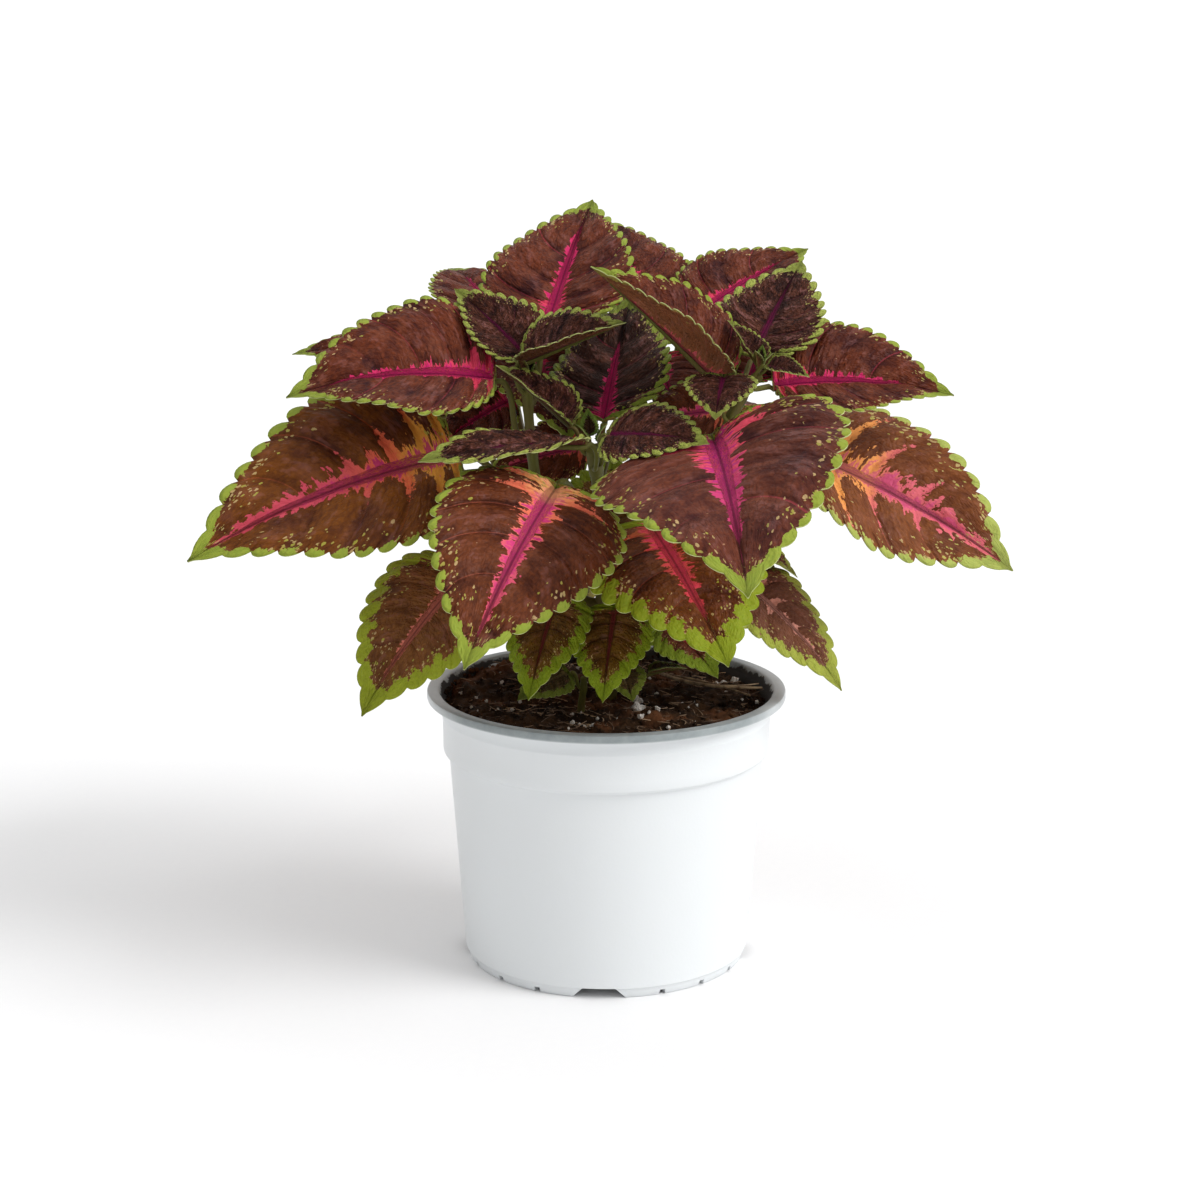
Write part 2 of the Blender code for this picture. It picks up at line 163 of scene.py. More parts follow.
inside = [(58.7, 97.2), (58.4, 92), (58.1, 80), (56.0, 76.7), (50.8, 7), (49.3, 5.4), (20, 5.4)]
pot = turned("nursery_pot", foot + body + collar + rim + inside, POT_SIDES)
openings = []
for heading in NOTCH_HEADINGS:
    openings.append(wedge(heading, *NOTCH))
    openings += [wedge(heading + offset, *SLOT) for offset in SLOT_OFFSETS]
for number in range(DRAIN_HOLES):
    deselect()
    angle = math.radians(360 / DRAIN_HOLES * number)
    spot = mm(DRAIN_REACH * math.cos(angle), DRAIN_REACH * math.sin(angle), 5)
    bpy.ops.mesh.primitive_cylinder_add(vertices=32, radius=mm(DRAIN_RADIUS), depth=mm(10), location=spot)
    openings.append(bpy.context.object)
cut(pot, openings)
bpy.ops.object.shade_smooth_by_angle(angle=math.radians(40))


def operator(operation):
    return lambda self, other: maths(operation, self, other)


class Signal:
    """What a shader node puts out. Arithmetic with signals adds the maths nodes that work it out."""

    __add__ = operator("ADD")
    __sub__ = operator("SUBTRACT")
    __mul__ = operator("MULTIPLY")
    __truediv__ = operator("DIVIDE")
    __pow__ = operator("POWER")
    __lt__ = operator("LESS_THAN")
    __gt__ = operator("GREATER_THAN")

    def __init__(self, socket):
        self.socket = socket
        self.tree = socket.id_data

    def __rsub__(self, other):
        return maths("SUBTRACT", other, self)

    def step(self, low, high):
        """0 below low and 1 above high, with a soft step between them."""
        smooth = {"interpolation_type": "SMOOTHSTEP"}
        node = add_node(self.tree, "MapRange", smooth, Value=self, From_Min=low, From_Max=high)
        return Signal(node.outputs["Result"])

    def parts(self, kind="XYZ"):
        """The three numbers of a place or, where the kind is Color, of a colour."""
        node = add_node(self.tree, "Separate" + kind)
        feed(node.inputs[0], self)
        return [Signal(output) for output in node.outputs]

    def noise(self, scale, detail=2.0, rough=0.5):
        """Noise at this place, from about 0.2 to 0.8."""
        node = add_node(self.tree, "TexNoise", Vector=self, Scale=scale, Detail=detail, Roughness=rough)
        return Signal(node.outputs["Fac"])


def feed(socket, value):
    """Sets a shader input, or links it where the value is a signal."""
    if isinstance(value, Signal):
        value.tree.links.new(value.socket, socket)
    elif isinstance(value, tuple) and socket.type == "RGBA":
        socket.default_value = (*value, 1)
    else:
        socket.default_value = value


def add_node(tree, kind, settings=None, **inputs):
    """A shader node. Each keyword is the name of one of its inputs, with _ for a space."""
    node = tree.nodes.new("ShaderNode" + kind)
    for name, value in (settings or {}).items():
        setattr(node, name, value)
    for name, value in inputs.items():
        feed(node.inputs[name.replace("_", " ")], value)
    return node


def maths(operation, *values):
    """A maths node on numbers and signals, at least one of them a signal."""
    tree = next(value.tree for value in values if isinstance(value, Signal))
    node = add_node(tree, "Math", {"operation": operation})
    for socket, value in zip(node.inputs, values):
        feed(socket, value)
    return Signal(node.outputs[0])


def blend_colours(share, first, second):
    node = add_node(share.tree, "Mix", {"data_type": "RGBA"})
    for number, value in ((0, share), (6, first), (7, second)):
        feed(node.inputs[number], value)
    return Signal(node.outputs[2])


def new_material(name, **sockets):
    """A Principled material. Gives the material and its shader."""
    material = bpy.data.materials.new(name)
    material.use_nodes = True
    shader = material.node_tree.nodes["Principled BSDF"]
    for socket, value in sockets.items():
        feed(shader.inputs[socket.replace("_", " ")], value)
    return material, shader


def place_on(shader):
    """Where each point of the piece is, in metres."""
    return Signal(add_node(shader.id_data, "TexCoord").outputs["Object"])


def paint(shader, colour):
    feed(shader.inputs["Base Color"], colour)


def bump_from(shader, height, depth):
    """Feeds a height in shares of the depth, which is in millimetres, to the shader's normal."""
    bump = add_node(height.tree, "Bump", Height=height, Distance=mm(depth), Strength=1.0)
    feed(shader.inputs["Normal"], Signal(bump.outputs["Normal"]))


def fix(piece, material, slot, *nodes):
    """Gives a piece its material, and fixes it to the one body in place of its CAD nodes."""
    piece.data.materials.append(material)
    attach(piece, "root")
    if nodes:
        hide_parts(*nodes)


plastic, shader = new_material("white_polypropylene", IOR=1.49, Subsurface_Weight=0.05)
feed(shader.inputs["Subsurface Radius"], mm(4, 4, 5))
place = place_on(shader)
x, y, z = place.parts()
radius = maths("SQRT", x**2.0 + y**2.0)
inside_wall = radius < z.step(mm(97.2), mm(97.6)) * mm(1.6) + mm(59.0)
blotch_noise = place.noise(140.0, 5.0, 0.65)
tone = place.noise(18.0)
grain = place.noise(900.0)
# The inside wall below the rim is painted near black up to an uneven edge: peat stain, and painted shade
# inside the pot
above_stain_and_shade = (blotch_noise * mm(7) + z).step(mm(102.4), mm(103.4))
stain_and_shade = inside_wall * z.step(mm(84), mm(86)) * (1.0 - above_stain_and_shade) * 0.96
# The rim's top is painted grey in blotches, as painted shade from the leaves above, less at its left and
# right ends
at_sides = maths("ABSOLUTE", x).step(mm(48), mm(63))
painted_rim_shade = z.step(mm(97.0), mm(98.2)) * (blotch_noise * 0.5 + 0.66) * (1.0 - at_sides * 0.55)
wall = blend_colours(tone * 0.10, POT_WHITE, POT_SHADED)
wall = blend_colours(painted_rim_shade, wall, RIM_PAINTED_SHADE)
paint(shader, blend_colours(stain_and_shade, wall, PEAT_STAIN_AND_SHADE))
feed(shader.inputs["Roughness"], stain_and_shade * 0.5 + grain * 0.14 + 0.30)
bump_from(shader, grain + tone * 6.0, 0.03)
fix(pot, plastic, "pot_plastic", "pot")


# ----------------------------
# Soil: moist peat mix with coir fibre, crumbs and white perlite. It was filled to just below the rim, and
# watering has left it lumpy, a little lower at the wall and crowned round the stem.

SOIL_RADIUS = 58.1
SOIL_LEVEL = 95.7
SOIL_SIDES = 220
SOIL_RINGS = 61
CRUMBS = 620
WALL_CRUMBS = 150
PERLITE_GRAINS = 70
FIBRES = 420
CLODS = ((30, 2, 5.2), (34, -4, 3.6), (26, 6, 3.4), (-30, -22, 3.2), (-42, 8, 4.0), (44, -12, 3.0))
LARGE_PERLITE = ((11, -8.4, 2.1), (11, -20.3, 2.4), (12.6, -17.6, 1.5), (43.5, 24.7, 1.7), (47.7, 27.6, 1.8))
SMALL_PERLITE = ((-12, -21, 1.0), (-9, -23, 0.8), (-5, -35, 0.9), (12, -33, 1.2), (18, -28, 1.0))
SMALL_PERLITE += ((15, -30, 0.7),)
STONE_PLACE = (-40.9, 38.2)
PEAT_DARK = (0.014, 0.006, 0.002)
PEAT_BROWN = (0.060, 0.028, 0.011)
PEAT_RUSSET = (0.20, 0.075, 0.028)
PEAT_PALE = (0.24, 0.16, 0.11)
draw = random.Random(11)


def soil_height(x, y):
    """Height of the surface at a place: a low crown with two mounds on it, then lumps of three sizes."""
    reach = math.hypot(x, y)
    level = SOIL_LEVEL + 0.8 * (1 - reach / SOIL_RADIUS) - 1.0 * max(0, (reach - 52) / 6) ** 2
    level += 2.6 * math.exp(-((x + 42) ** 2 + (y - 32) ** 2) / 420)
    level += 1.8 * math.exp(-((x - 20) ** 2 + (y + 33) ** 2) / 160)
    swell = 1.5 * noise.noise(Vector((x / 15, y / 15, 3.1)))
    lump = 2.4 * noise.noise(Vector((x / 5.5, y / 5.5, 8.7)))
    crumb = 1.2 * noise.noise(Vector((x / 2.1, y / 2.1, 1.3)))
    return level + swell + max(lump, -0.9) + crumb


soil_rings = [(20, 5.8), (47.5, 5.8), (48.5, 7), (54.6, 75), (57.3, 80.5), (57.6, 88), (SOIL_RADIUS, 93)]
soil_rings += [(SOIL_RADIUS - 0.9 * step, SOIL_LEVEL) for step in range(1, SOIL_RINGS + 1)]
soil = turned("potting_soil", soil_rings, SOIL_SIDES)
points = points_of(soil)
for number in np.flatnonzero(points[:, 2] > SOIL_LEVEL - 5):
    points[number, 2] = soil_height(points[number, 0], points[number, 1])
place_points(soil, points)
bpy.ops.object.shade_smooth_by_angle(angle=math.radians(60))

peat, shader = new_material("moist_peat", Specular_IOR_Level=0.12)
place = place_on(shader)
coarse = place.noise(110.0, 6.0, 0.7)
fine = place.noise(620.0, 5.0, 0.75)
colour = blend_colours(coarse.step(0.4, 0.62), PEAT_DARK, PEAT_BROWN)
colour = blend_colours(place.noise(48.0).step(0.50, 0.64) * fine, colour, PEAT_RUSSET)
paint(shader, blend_colours(fine.step(0.60, 0.68) * 0.7, colour, PEAT_PALE))
feed(shader.inputs["Roughness"], 1.05 - coarse * 0.45)
bump_from(shader, fine + coarse * 2.0, 0.9)
fix(soil, peat, "peat", "soil")


def mottled(name, dark, pale, pattern, depth, roughness):
    """A material of two tones. A pattern made from the place blends them, and raises its pale parts."""
    material, shader = new_material(name, Roughness=roughness)
    shade = pattern(place_on(shader))
    paint(shader, blend_colours(shade, dark, pale))
    if depth:
        bump_from(shader, shade, depth)
    return material


def cells(place, scale, feature="F1"):
    """Irregular cells: how far a point is from the middle or the edge, and a colour drawn by each."""
    node = add_node(place.tree, "TexVoronoi", {"feature": feature}, Vector=place, Scale=scale)
    return [Signal(output) for output in node.outputs if output.enabled]


def new_object(name, data):
    made = bpy.data.objects.new(name, data)
    bpy.context.scene.collection.objects.link(made)
    return made


def scattered(name, grain, places, material):
    """Copies of one modelled grain as one mesh. A place is (x, y, z, sizes, three turns in radians)."""
    shape = points_of(grain)
    faces = [np.array(face.vertices) for face in grain.data.polygons]
    points = []
    for x, y, z, size, turns in places:
        turned_shape = shape * np.array(size)
        for axis, turn in enumerate(turns):
            first, second = (axis + 1) % 3, (axis + 2) % 3
            cosine, sine = math.cos(turn), math.sin(turn)
            swapped = turned_shape[:, first] * cosine - turned_shape[:, second] * sine
            turned_shape[:, second] = turned_shape[:, first] * sine + turned_shape[:, second] * cosine
            turned_shape[:, first] = swapped
        points.append(turned_shape + (x, y, z))
    count = len(shape)
    mesh = bpy.data.meshes.new(name)
    all_faces = [(face + count * number).tolist() for number in range(len(places)) for face in faces]
    mesh.from_pydata((np.concatenate(points) * 0.001).tolist(), [], all_faces)
    mesh.shade_smooth()
    bpy.data.objects.remove(grain)
    fix(new_object(name, mesh), material, "peat")


def pebble(divisions, rough, seed):
    """A knobbly grain 2 mm across, from an icosphere."""
    deselect()
    bpy.ops.mesh.primitive_ico_sphere_add(subdivisions=divisions, radius=mm(1))
    grain = bpy.context.object
    points = points_of(grain)
    for point in points:
        point *= 1 + rough * noise.noise(Vector(point * 1.4) + Vector((seed, 0, 0)))
    place_points(grain, points)
    return grain


def on_soil(low, high):
    """A random place on the soil between two radii."""
    reach = math.sqrt(draw.uniform(low**2, high**2))
    angle = draw.uniform(0, math.tau)
    x, y = reach * math.cos(angle), reach * math.sin(angle)
    return x, y, soil_height(x, y)


def any_turn():
    return tuple(draw.uniform(0, math.tau) for _ in range(3))


places = []
for _ in range(CRUMBS):
    x, y, z = on_soil(6, 56)
    size = draw.uniform(0.35, 1.25)
    places.append((x, y, z + 0.1, (size, size * draw.uniform(0.6, 1), size * 0.7), any_turn()))
for _ in range(WALL_CRUMBS):
    angle, size = draw.uniform(0.9, 4.4), draw.uniform(0.4, 1.1)
    reach, z = draw.uniform(57.4, 58.0), draw.uniform(95, 99.4)
    places.append((reach * math.cos(angle), reach * math.sin(angle), z, (size, size, size * 0.7), any_turn()))
scattered("peat_crumbs", pebble(2, 0.5, 4), places, peat)

places = []
for x, y, size in CLODS:
    places.append((x, y, soil_height(x, y) - 0.3 * size, (size, size * 0.8, size * 0.55), (0, 0, x)))
scattered("peat_clods", pebble(4, 0.55, 9), places, peat)

places = []
for x, y, size in LARGE_PERLITE:
    places.append((x, y, soil_height(x, y) + 0.5, (size, size * 0.85, size * 0.8), (0.3, x, y)))
for x, y, size in SMALL_PERLITE:
    places.append((x, y, soil_height(x, y) + 0.3, (size, size, size * 0.8), (0.3, x, y)))
for _ in range(PERLITE_GRAINS):
    x, y, z = on_soil(12, 56)
    size = draw.uniform(0.3, 0.9)
    places.append((x, y, z + 0.2, (size, size, size), any_turn()))
PORE_GREY = (0.42, 0.38, 0.33)
PERLITE_WHITE = (0.80, 0.76, 0.70)
foam = mottled("perlite_foam", PORE_GREY, PERLITE_WHITE, lambda place: cells(place, 1900.0)[0], 0.4, 0.85)
scattered("perlite", pebble(3, 0.6, 2), places, foam)

GRIT_DARK = (0.10, 0.10, 0.09)
GRIT_GREY = (0.34, 0.33, 0.30)
grit = mottled("grey_grit", GRIT_DARK, GRIT_GREY, lambda place: place.noise(700.0, 4.0), 0.2, 0.6)
places = [(*STONE_PLACE, soil_height(*STONE_PLACE), (3.4, 2.6, 1.9), (0.2, 0.1, 0.5))]
scattered("grit_stone", pebble(4, 0.25, 7), places, grit)

fibre = turned("fibre", [(0.1, -5), (0.16, -3), (0.18, 0), (0.15, 3), (0.08, 5)], 5)
points = points_of(fibre)
points[:, 0] += 0.05 * points[:, 2] ** 2
place_points(fibre, points)
places = []
for _ in range(FIBRES):
    x, y, z = on_soil(8, 54)
    length = draw.uniform(0.3, 1.1)
    turns = (math.pi / 2 + draw.uniform(-0.3, 0.3), 0, draw.uniform(0, 6))
    places.append((x, y, z + 0.1, (1, 1, length), turns))
COIR_DARK = (0.06, 0.030, 0.016)
COIR_PALE = (0.42, 0.28, 0.17)
coir = mottled("coir", COIR_DARK, COIR_PALE, lambda place: place.noise(60.0, 3.0).step(0.35, 0.65), 0.1, 0.8)
scattered("coir_fibres", fibre, places, coir)


def tube(name, places, radii, sides, square=0.0):
    """A tube through points in millimetres, swept as a curve and made a mesh. square flattens four sides."""
    deselect()
    bpy.ops.mesh.primitive_circle_add(vertices=sides, radius=mm(1))
    ring = bpy.context.object
    corners = points_of(ring)
    angles = np.arctan2(corners[:, 1], corners[:, 0])
    corners *= (1 + square * np.cos(4 * angles))[:, None]
    place_points(ring, corners)
    bpy.ops.object.convert(target="CURVE")
    outline = bpy.context.object
    curve = bpy.data.curves.new(name, "CURVE")
    curve.dimensions = "3D"
    curve.bevel_mode = "OBJECT"
    curve.bevel_object = outline
    curve.use_fill_caps = True
    spline = curve.splines.new("POLY")
    spline.points.add(len(places) - 1)
    for point, place, radius in zip(spline.points, places, radii):
        point.co = (*mm(*[float(value) for value in place]), 1)
        point.radius = float(radius)
    select_only(new_object(name, curve))
    bpy.ops.object.convert(target="MESH")
    piece = bpy.context.object
    bpy.data.objects.remove(outline)
    bpy.ops.object.mode_set(mode="EDIT")
    bpy.ops.mesh.select_all(action="SELECT")
    bpy.ops.mesh.remove_doubles(threshold=mm(0.001))
    close_mesh(50)
    return piece


def cubic(foot, foot_handle, tip_handle, tip, count):
    """Points along one cubic Bezier curve."""
    t = np.linspace(0, 1, count)[:, None]
    ends = (1 - t) ** 3 * np.array(foot, float) + t**3 * np.array(tip, float)
    handles = (1 - t) * np.array(foot_handle, float) + t * np.array(tip_handle, float)
    return ends + 3 * (1 - t) * t * handles


STRANDS = (
    ((17, 30, 99.5), (22, 12, 100.5), (32, 4, 98.6), (57, 6, 98.2), 0.75),
    ((20, 24, 99.0), (30, 14, 100.0), (42, 10, 98.4), (52, -4, 98.0), 0.5),
    ((26, 20, 98.6), (34, 2, 100.0), (44, 6, 98.2), (56, 12, 98.2), 0.4),
)
STRAND_BROWN = (0.13, 0.08, 0.04)
STRAND_STRAW = (0.36, 0.26, 0.15)
STRAND_POINTS = 30


def strand_shade(place):
    return place.noise(260.0, 4.0).step(0.35, 0.65)


dry = mottled("dry_strand", STRAND_BROWN, STRAND_STRAW, strand_shade, 0.25, 0.75)
for number, (*route, thickness) in enumerate(STRANDS, 1):
    line = cubic(*route, STRAND_POINTS)
    radii = thickness * (0.55 + 0.45 * np.sin(np.linspace(0.3, 2.9, STRAND_POINTS)))
    fix(tube(f"dry_strand_{number}", line, radii, 8), dry, "peat")


# ----------------------------
# Stems: fleshy, square in section as in all the mint family, and olive green with a purple cast. A short main
# stem rises from the peat and four shoots leave it low down; each stem swells at the nodes where leaves sit.

STEM_POINTS = 49
SHOOT_CLEARANCE = 0.4
SHOOT_SUNK = 1.4
NODE_SWELLING = 0.16
NODE_SPREAD = 1.8
# Each stem: its foot, two handles and its tip, then its radius at the foot and at the tip. A shoot has the
# height where it leaves the main stem in place of its foot
MAIN_STEM = ((0, 0, 79.5), (0, 0, 112), (1, -6, 160), (-5, -25, 192), 4.2, 2.0)
SHOOTS = {
    "left": (132, (-22, -4, 132), (-27, -8, 185), (-28, -7, 213), 2.6, 1.6),
    "right": (126, (34, -10, 126), (34, -20, 204), (53, -19, 217), 2.8, 1.6),
    "rear_left": (124, (-18, 20, 124), (-30, 40, 175), (-38, 46, 216), 2.6, 1.6),
    "rear_right": (118, (14, 20, 118), (20, 46, 170), (28, 54, 222), 2.6, 1.6),
}
BASAL_SHOOT = ((-9, -20, 96.8), (-9, -20, 101), (-8, -22, 104), (-8, -23, 110), 1.5, 1.2)


def beside(line, radii, height, target, clearance):
    """A point clear of a stem's side at a height, and the direction square out from there to the target."""
    centre = np.array([np.interp(height, line[:, 2], line[:, i]) for i in range(3)])
    upper = np.searchsorted(line[:, 2], height)
    along = line[upper] - line[upper - 1]
    along /= np.linalg.norm(along)
    outward = np.array(target, float) - centre
    outward -= along * outward.dot(along)
    outward /= np.linalg.norm(outward)
    return centre + outward * (np.interp(height, line[:, 2], radii) + clearance), outward


stems = {}
for name, stem in (("main", MAIN_STEM), ("basal", BASAL_SHOOT)):
    stems[name] = cubic(*stem[:4], STEM_POINTS), np.linspace(*stem[4:], STEM_POINTS)
for name, (height, foot_handle, tip_handle, tip, foot_radius, tip_radius) in SHOOTS.items():
    foot, outward = beside(*stems["main"], height, foot_handle, SHOOT_CLEARANCE)
    handle = foot + outward * (np.array(foot_handle) - foot).dot(outward)
    radii = np.linspace(foot_radius, tip_radius, STEM_POINTS)
    stems[name] = cubic(foot, handle, tip_handle, tip, STEM_POINTS), radii

# Each leaf: its age, the height where it leaves its stem, and where its blade starts (x, y, z); then the
# blade's heading, its pitch there, how far the pitch has dropped at the tip, its roll, and how far it twists
# by the tip; the upward fold of its halves, how far each half arches down again, its length and its width
LEAVES = {
    # The leading shoot, low leaves first
    "main_1": ("low", 118, (-17, -36, 143), -108, -38, 12, 5, 0, 5, 15, 43, 31),
    "main_2": ("low", 124, (3, -42, 141), -100, -42, 12, 0, 0, 5, 15, 38, 29),
    "main_3": ("low", 128, (-47, -28, 151), 219, -34, 20, -26, 0, 8, 15, 66, 50),
    "main_4": ("low", 120, (43, -6, 145), -27, -29, 24, 18, 0, 8, 15, 60, 37),
    "main_5": ("old", 146, (14, -34, 169), -58, -32, 15, 8, 0, 8, 14, 65, 68),
    "main_6": ("old", 165, (-17, -46, 183), -112, -22, 18, -20, 0, 14, 20, 89, 65),
    "main_7": ("mature", 184, (-1, -14, 200), 80, 38, 10, -6, 0, 14, 10, 69, 44),
    "main_8": ("young", 186, (-7, -36, 196), 200, 5, 15, 14, -50, 12, 10, 60, 32),
    "main_9": ("young", 187, (0, -35, 199), -31, 8, 15, 27, 0, 8, 10, 40, 34),
    "main_10": ("young", 190, (-12, -29, 201), 150, 34, 5, -8, 0, 38, 5, 36, 22),
    "main_11": ("young", 191, (-6, -21, 196), 100, 75, 10, 0, 0, 20, 5, 10, 7),
    # The left shoot
    "left_1": ("old", 170, (-52, -13, 188), 197, -8, 21, -38, 0, 16, 15, 102, 76),
    "left_2": ("mature", 192, (-39, -7, 214), 188, 10, 28, -28, 0, 19, 10, 74, 69),
    "left_3": ("mature", 204, (-22, 12, 227), 74, 40, 10, 0, 0, 16, 10, 75, 57),
    "left_4": ("young", 208, (-26, -3, 219), 138, 35, 8, -25, 0, 26, 10, 45, 30),
    "left_5": ("young", 209, (-30, -9, 220), -20, 22, 0, 20, 0, 32, 5, 42, 34),
    "left_6": ("mature", 188, (-33, 11, 204), 197, -20, 22, -36, 0, 12, 12, 34, 28),
    # The right shoot
    "right_1": ("old", 160, (62, -6, 190), -8, -18, 19, 12, 58, 16, 15, 93, 67),
    "right_2": ("mature", 182, (36, -43, 199), -86, -6, 24, 24, -21, 15, 15, 105, 87),
    "right_3": ("young", 201, (40, -29, 218), -99, -14, 20, 0, 0, 12, 10, 27, 25),
    "right_4": ("mature", 213, (58, -11, 212), 0, 8, 22, 32, 0, 22, 10, 64, 52),
    "right_5": ("mature", 205, (41, -17, 212), 182, 45, 5, -14, 0, 42, 5, 63, 48),
    "right_6": ("young", 212, (51, -5, 221), 62, 38, 5, 8, 0, 12, 8, 52, 42),
    "right_7": ("young", 215, (53, -16, 220), 143, 50, 5, 0, 0, 32, 5, 20, 15),
    "right_8": ("young", 215, (55, -25, 221), -25, -5, 10, 20, 0, 25, 5, 16, 12),
    "right_9": ("old", 190, (43, -1, 202), 172, -5, 10, -45, 0, 10, 10, 36, 30),
    "right_10": ("mature", 202, (51, 7, 210), 78, 42, 10, 0, 0, 12, 10, 28, 36),
    # The rear left shoot
    "rear_left_1": ("old", 165, (-60, 66, 190), 138, -6, 24, 0, 0, 12, 18, 92, 66),
    "rear_left_2": ("mature", 180, (-36, 70, 200), 98, 0, 25, 0, 0, 12, 18, 76, 54),
    "rear_left_3": ("mature", 195, (-62, 42, 215), 174, 10, 20, -19, 0, 12, 15, 55, 36),
    "rear_left_4": ("mature", 202, (-38, 56, 223), 113, 29, 25, 0, 0, 15, 10, 61, 46),
    "rear_left_5": ("young", 212, (-31, 46, 222), 20, 25, 10, 0, 0, 25, 5, 34, 24),
    "rear_left_6": ("young", 213, (-44, 41, 221), 215, 20, 10, 0, 0, 25, 5, 30, 22),
    "rear_left_7": ("mature", 196, (-28, 34, 219), -70, -24, 15, 0, 0, 12, 12, 52, 46),
    # The rear right shoot
    "rear_right_1": ("old", 160, (50, 72, 190), 55, -6, 24, 0, 0, 12, 18, 88, 64),
    "rear_right_2": ("mature", 175, (60, 52, 184), 24, -14, 22, 0, 0, 14, 15, 84, 58),
    "rear_right_3": ("mature", 192, (14, 76, 212), 105, 10, 25, 0, 0, 14, 15, 68, 50),
    "rear_right_4": ("mature", 206, (33, 38, 231), 36, 26, 9, 20, 0, 14, 10, 57, 44),
    "rear_right_5": ("mature", 210, (16, 46, 229), 110, 40, 20, 0, 0, 14, 10, 64, 46),
    "rear_right_6": ("young", 217, (34, 62, 230), 70, 35, 10, 0, 0, 25, 5, 34, 22),
    "rear_right_7": ("mature", 192, (19, 37, 216), -80, -20, 15, 0, 0, 12, 12, 34, 46),
    # Low leaves around the back of the main stem
    "main_12": ("low", 114, (-38, 16, 150), 168, -22, 22, 0, 0, 10, 15, 58, 45),
    "main_13": ("low", 110, (-3, 42, 146), 95, -25, 22, 0, 0, 10, 15, 62, 42),
    "main_14": ("low", 112, (40, 24, 144), 45, -24, 22, 0, 0, 10, 15, 50, 42),
    "main_15": ("low", 136, (41, 10, 158), -12, -22, 20, 0, 0, 10, 15, 34, 34),
    "main_16": ("low", 106, (20, -13, 129), -35, -32, 12, 14, 0, 10, 10, 30, 30),
    "main_17": ("low", 134, (2, 16, 152), 90, 38, 10, 0, 0, 12, 10, 44, 42),
    # Leaves that fill the middle of the plant
    "main_20": ("old", 172, (-6, 17, 186), 185, -8, 15, -45, 0, 10, 10, 40, 28),
    "main_21": ("low", 134, (5, -8, 144), -66, -34, 12, 0, 0, 8, 12, 25, 19),
    # Small leaves close to the soil
    "main_18": ("low", 102, (15, -17, 110), 8, 12, 15, 0, 0, 25, 5, 14, 11),
    "main_19": ("low", 101, (4, -20, 113), -72, -20, 12, 0, 0, 10, 5, 19, 17),
    "basal_1": ("low", 106, (-13, -28, 113), 208, -10, 20, -26, 0, 10, 10, 22, 19),
}
leaves_of = {name: [leaf for key, leaf in LEAVES.items() if key.rsplit("_", 1)[0] == name] for name in stems}


def stretched(place, *scale):
    """A place with a scale along each axis."""
    return Signal(add_node(place.tree, "Mapping", Vector=place, Scale=scale).outputs["Vector"])


STEM_OLIVE = (0.056, 0.056, 0.010)
STEM_GREEN = (0.13, 0.125, 0.022)
STEM_PURPLE = (0.09, 0.035, 0.02)
stalk_green, shader = new_material("stem_skin", Roughness=0.5, Specular_IOR_Level=0.15)
place = place_on(shader)
cast = place.noise(45.0, 4.0, 0.6).step(0.42, 0.66)
streaks = stretched(place, 1.0, 1.0, 0.12).noise(900.0, 3.0)
paint(shader, blend_colours(cast * 0.5, blend_colours(streaks, STEM_OLIVE, STEM_GREEN), STEM_PURPLE))
bump_from(shader, streaks + cast, 0.12)

for name, (line, radii) in stems.items():
    nodes_up = [leaf[1] for leaf in leaves_of[name]]
    swell = sum(np.exp(-(((line[:, 2] - height) / NODE_SPREAD) ** 2)) for height in nodes_up)
    first, last = line[:1].copy(), line[-1:] + (line[-1:] - line[-2:-1]) * 0.4
    if name in SHOOTS:
        first -= (line[1:2] - line[:1]) / np.linalg.norm(line[1] - line[0]) * SHOOT_SUNK
    route = np.concatenate([first, line[1:], last])
    swollen = radii * (0.94 + NODE_SWELLING * np.minimum(swell, 1.2))
    thickness = np.concatenate([swollen, radii[-1:] * 0.4])
    fix(tube("stem_of_" + name, route, thickness, 20, 0.07), stalk_green, "stem_green", "stem_" + name)


# ----------------------------
# Leaf patterns: one flat leaf is modelled for each kind, straight and level, blade and stalk together. The
# lateral veins leave the midrib and bend towards the tip; the blade puffs up between them, and its margin is
# a row of round beads. The mature kind has the most beads, and the young kind the deepest ripples.

BLADE_LENGTH = 80.0
BLADE_WIDTH = 56.0
BLADE_THICKNESS = 0.4
STALK_LENGTH = 80.0
MIDRIB_LENGTH = 0.86 * BLADE_LENGTH
OUTLINE_BASE_POWER = 0.48
OUTLINE_TIP_POWER = 1.15
RAY_START_POWER = 2.1
VEIN_PAIRS = 7


def half_width(along):
    """The smooth outline's half width at a share of the length, as a share of half the full width."""
    peak = OUTLINE_BASE_POWER / (OUTLINE_BASE_POWER + OUTLINE_TIP_POWER)
    highest = peak**OUTLINE_BASE_POWER * (1 - peak) ** OUTLINE_TIP_POWER
    along = np.clip(along, 0, 1)
    return along**OUTLINE_BASE_POWER * (1 - along) ** OUTLINE_TIP_POWER / highest


def soft(value, low, high):
    """0 below low and 1 above high, smoothly."""
    share = np.clip((value - low) / (high - low), 0, 1)
    return share * share * (3 - 2 * share)


def margin_at(station):
    """Places on the smooth outline at shares of its own length, and the forward direction there."""
    shares = np.linspace(0, 1, 1201) ** 2
    line = np.stack([shares * BLADE_LENGTH, half_width(shares) * BLADE_WIDTH / 2], axis=1)
    run = np.concatenate([[0], np.cumsum(np.linalg.norm(np.diff(line, axis=0), axis=1))])
    run /= run[-1]
    before, here, after = (
        np.stack([np.interp(station + ahead, run, line[:, i]) for i in range(2)], axis=1)
        for ahead in (-0.004, 0, 0.004)
    )
    tangent = after - before
    return here, tangent / np.linalg.norm(tangent, axis=1)[:, None]


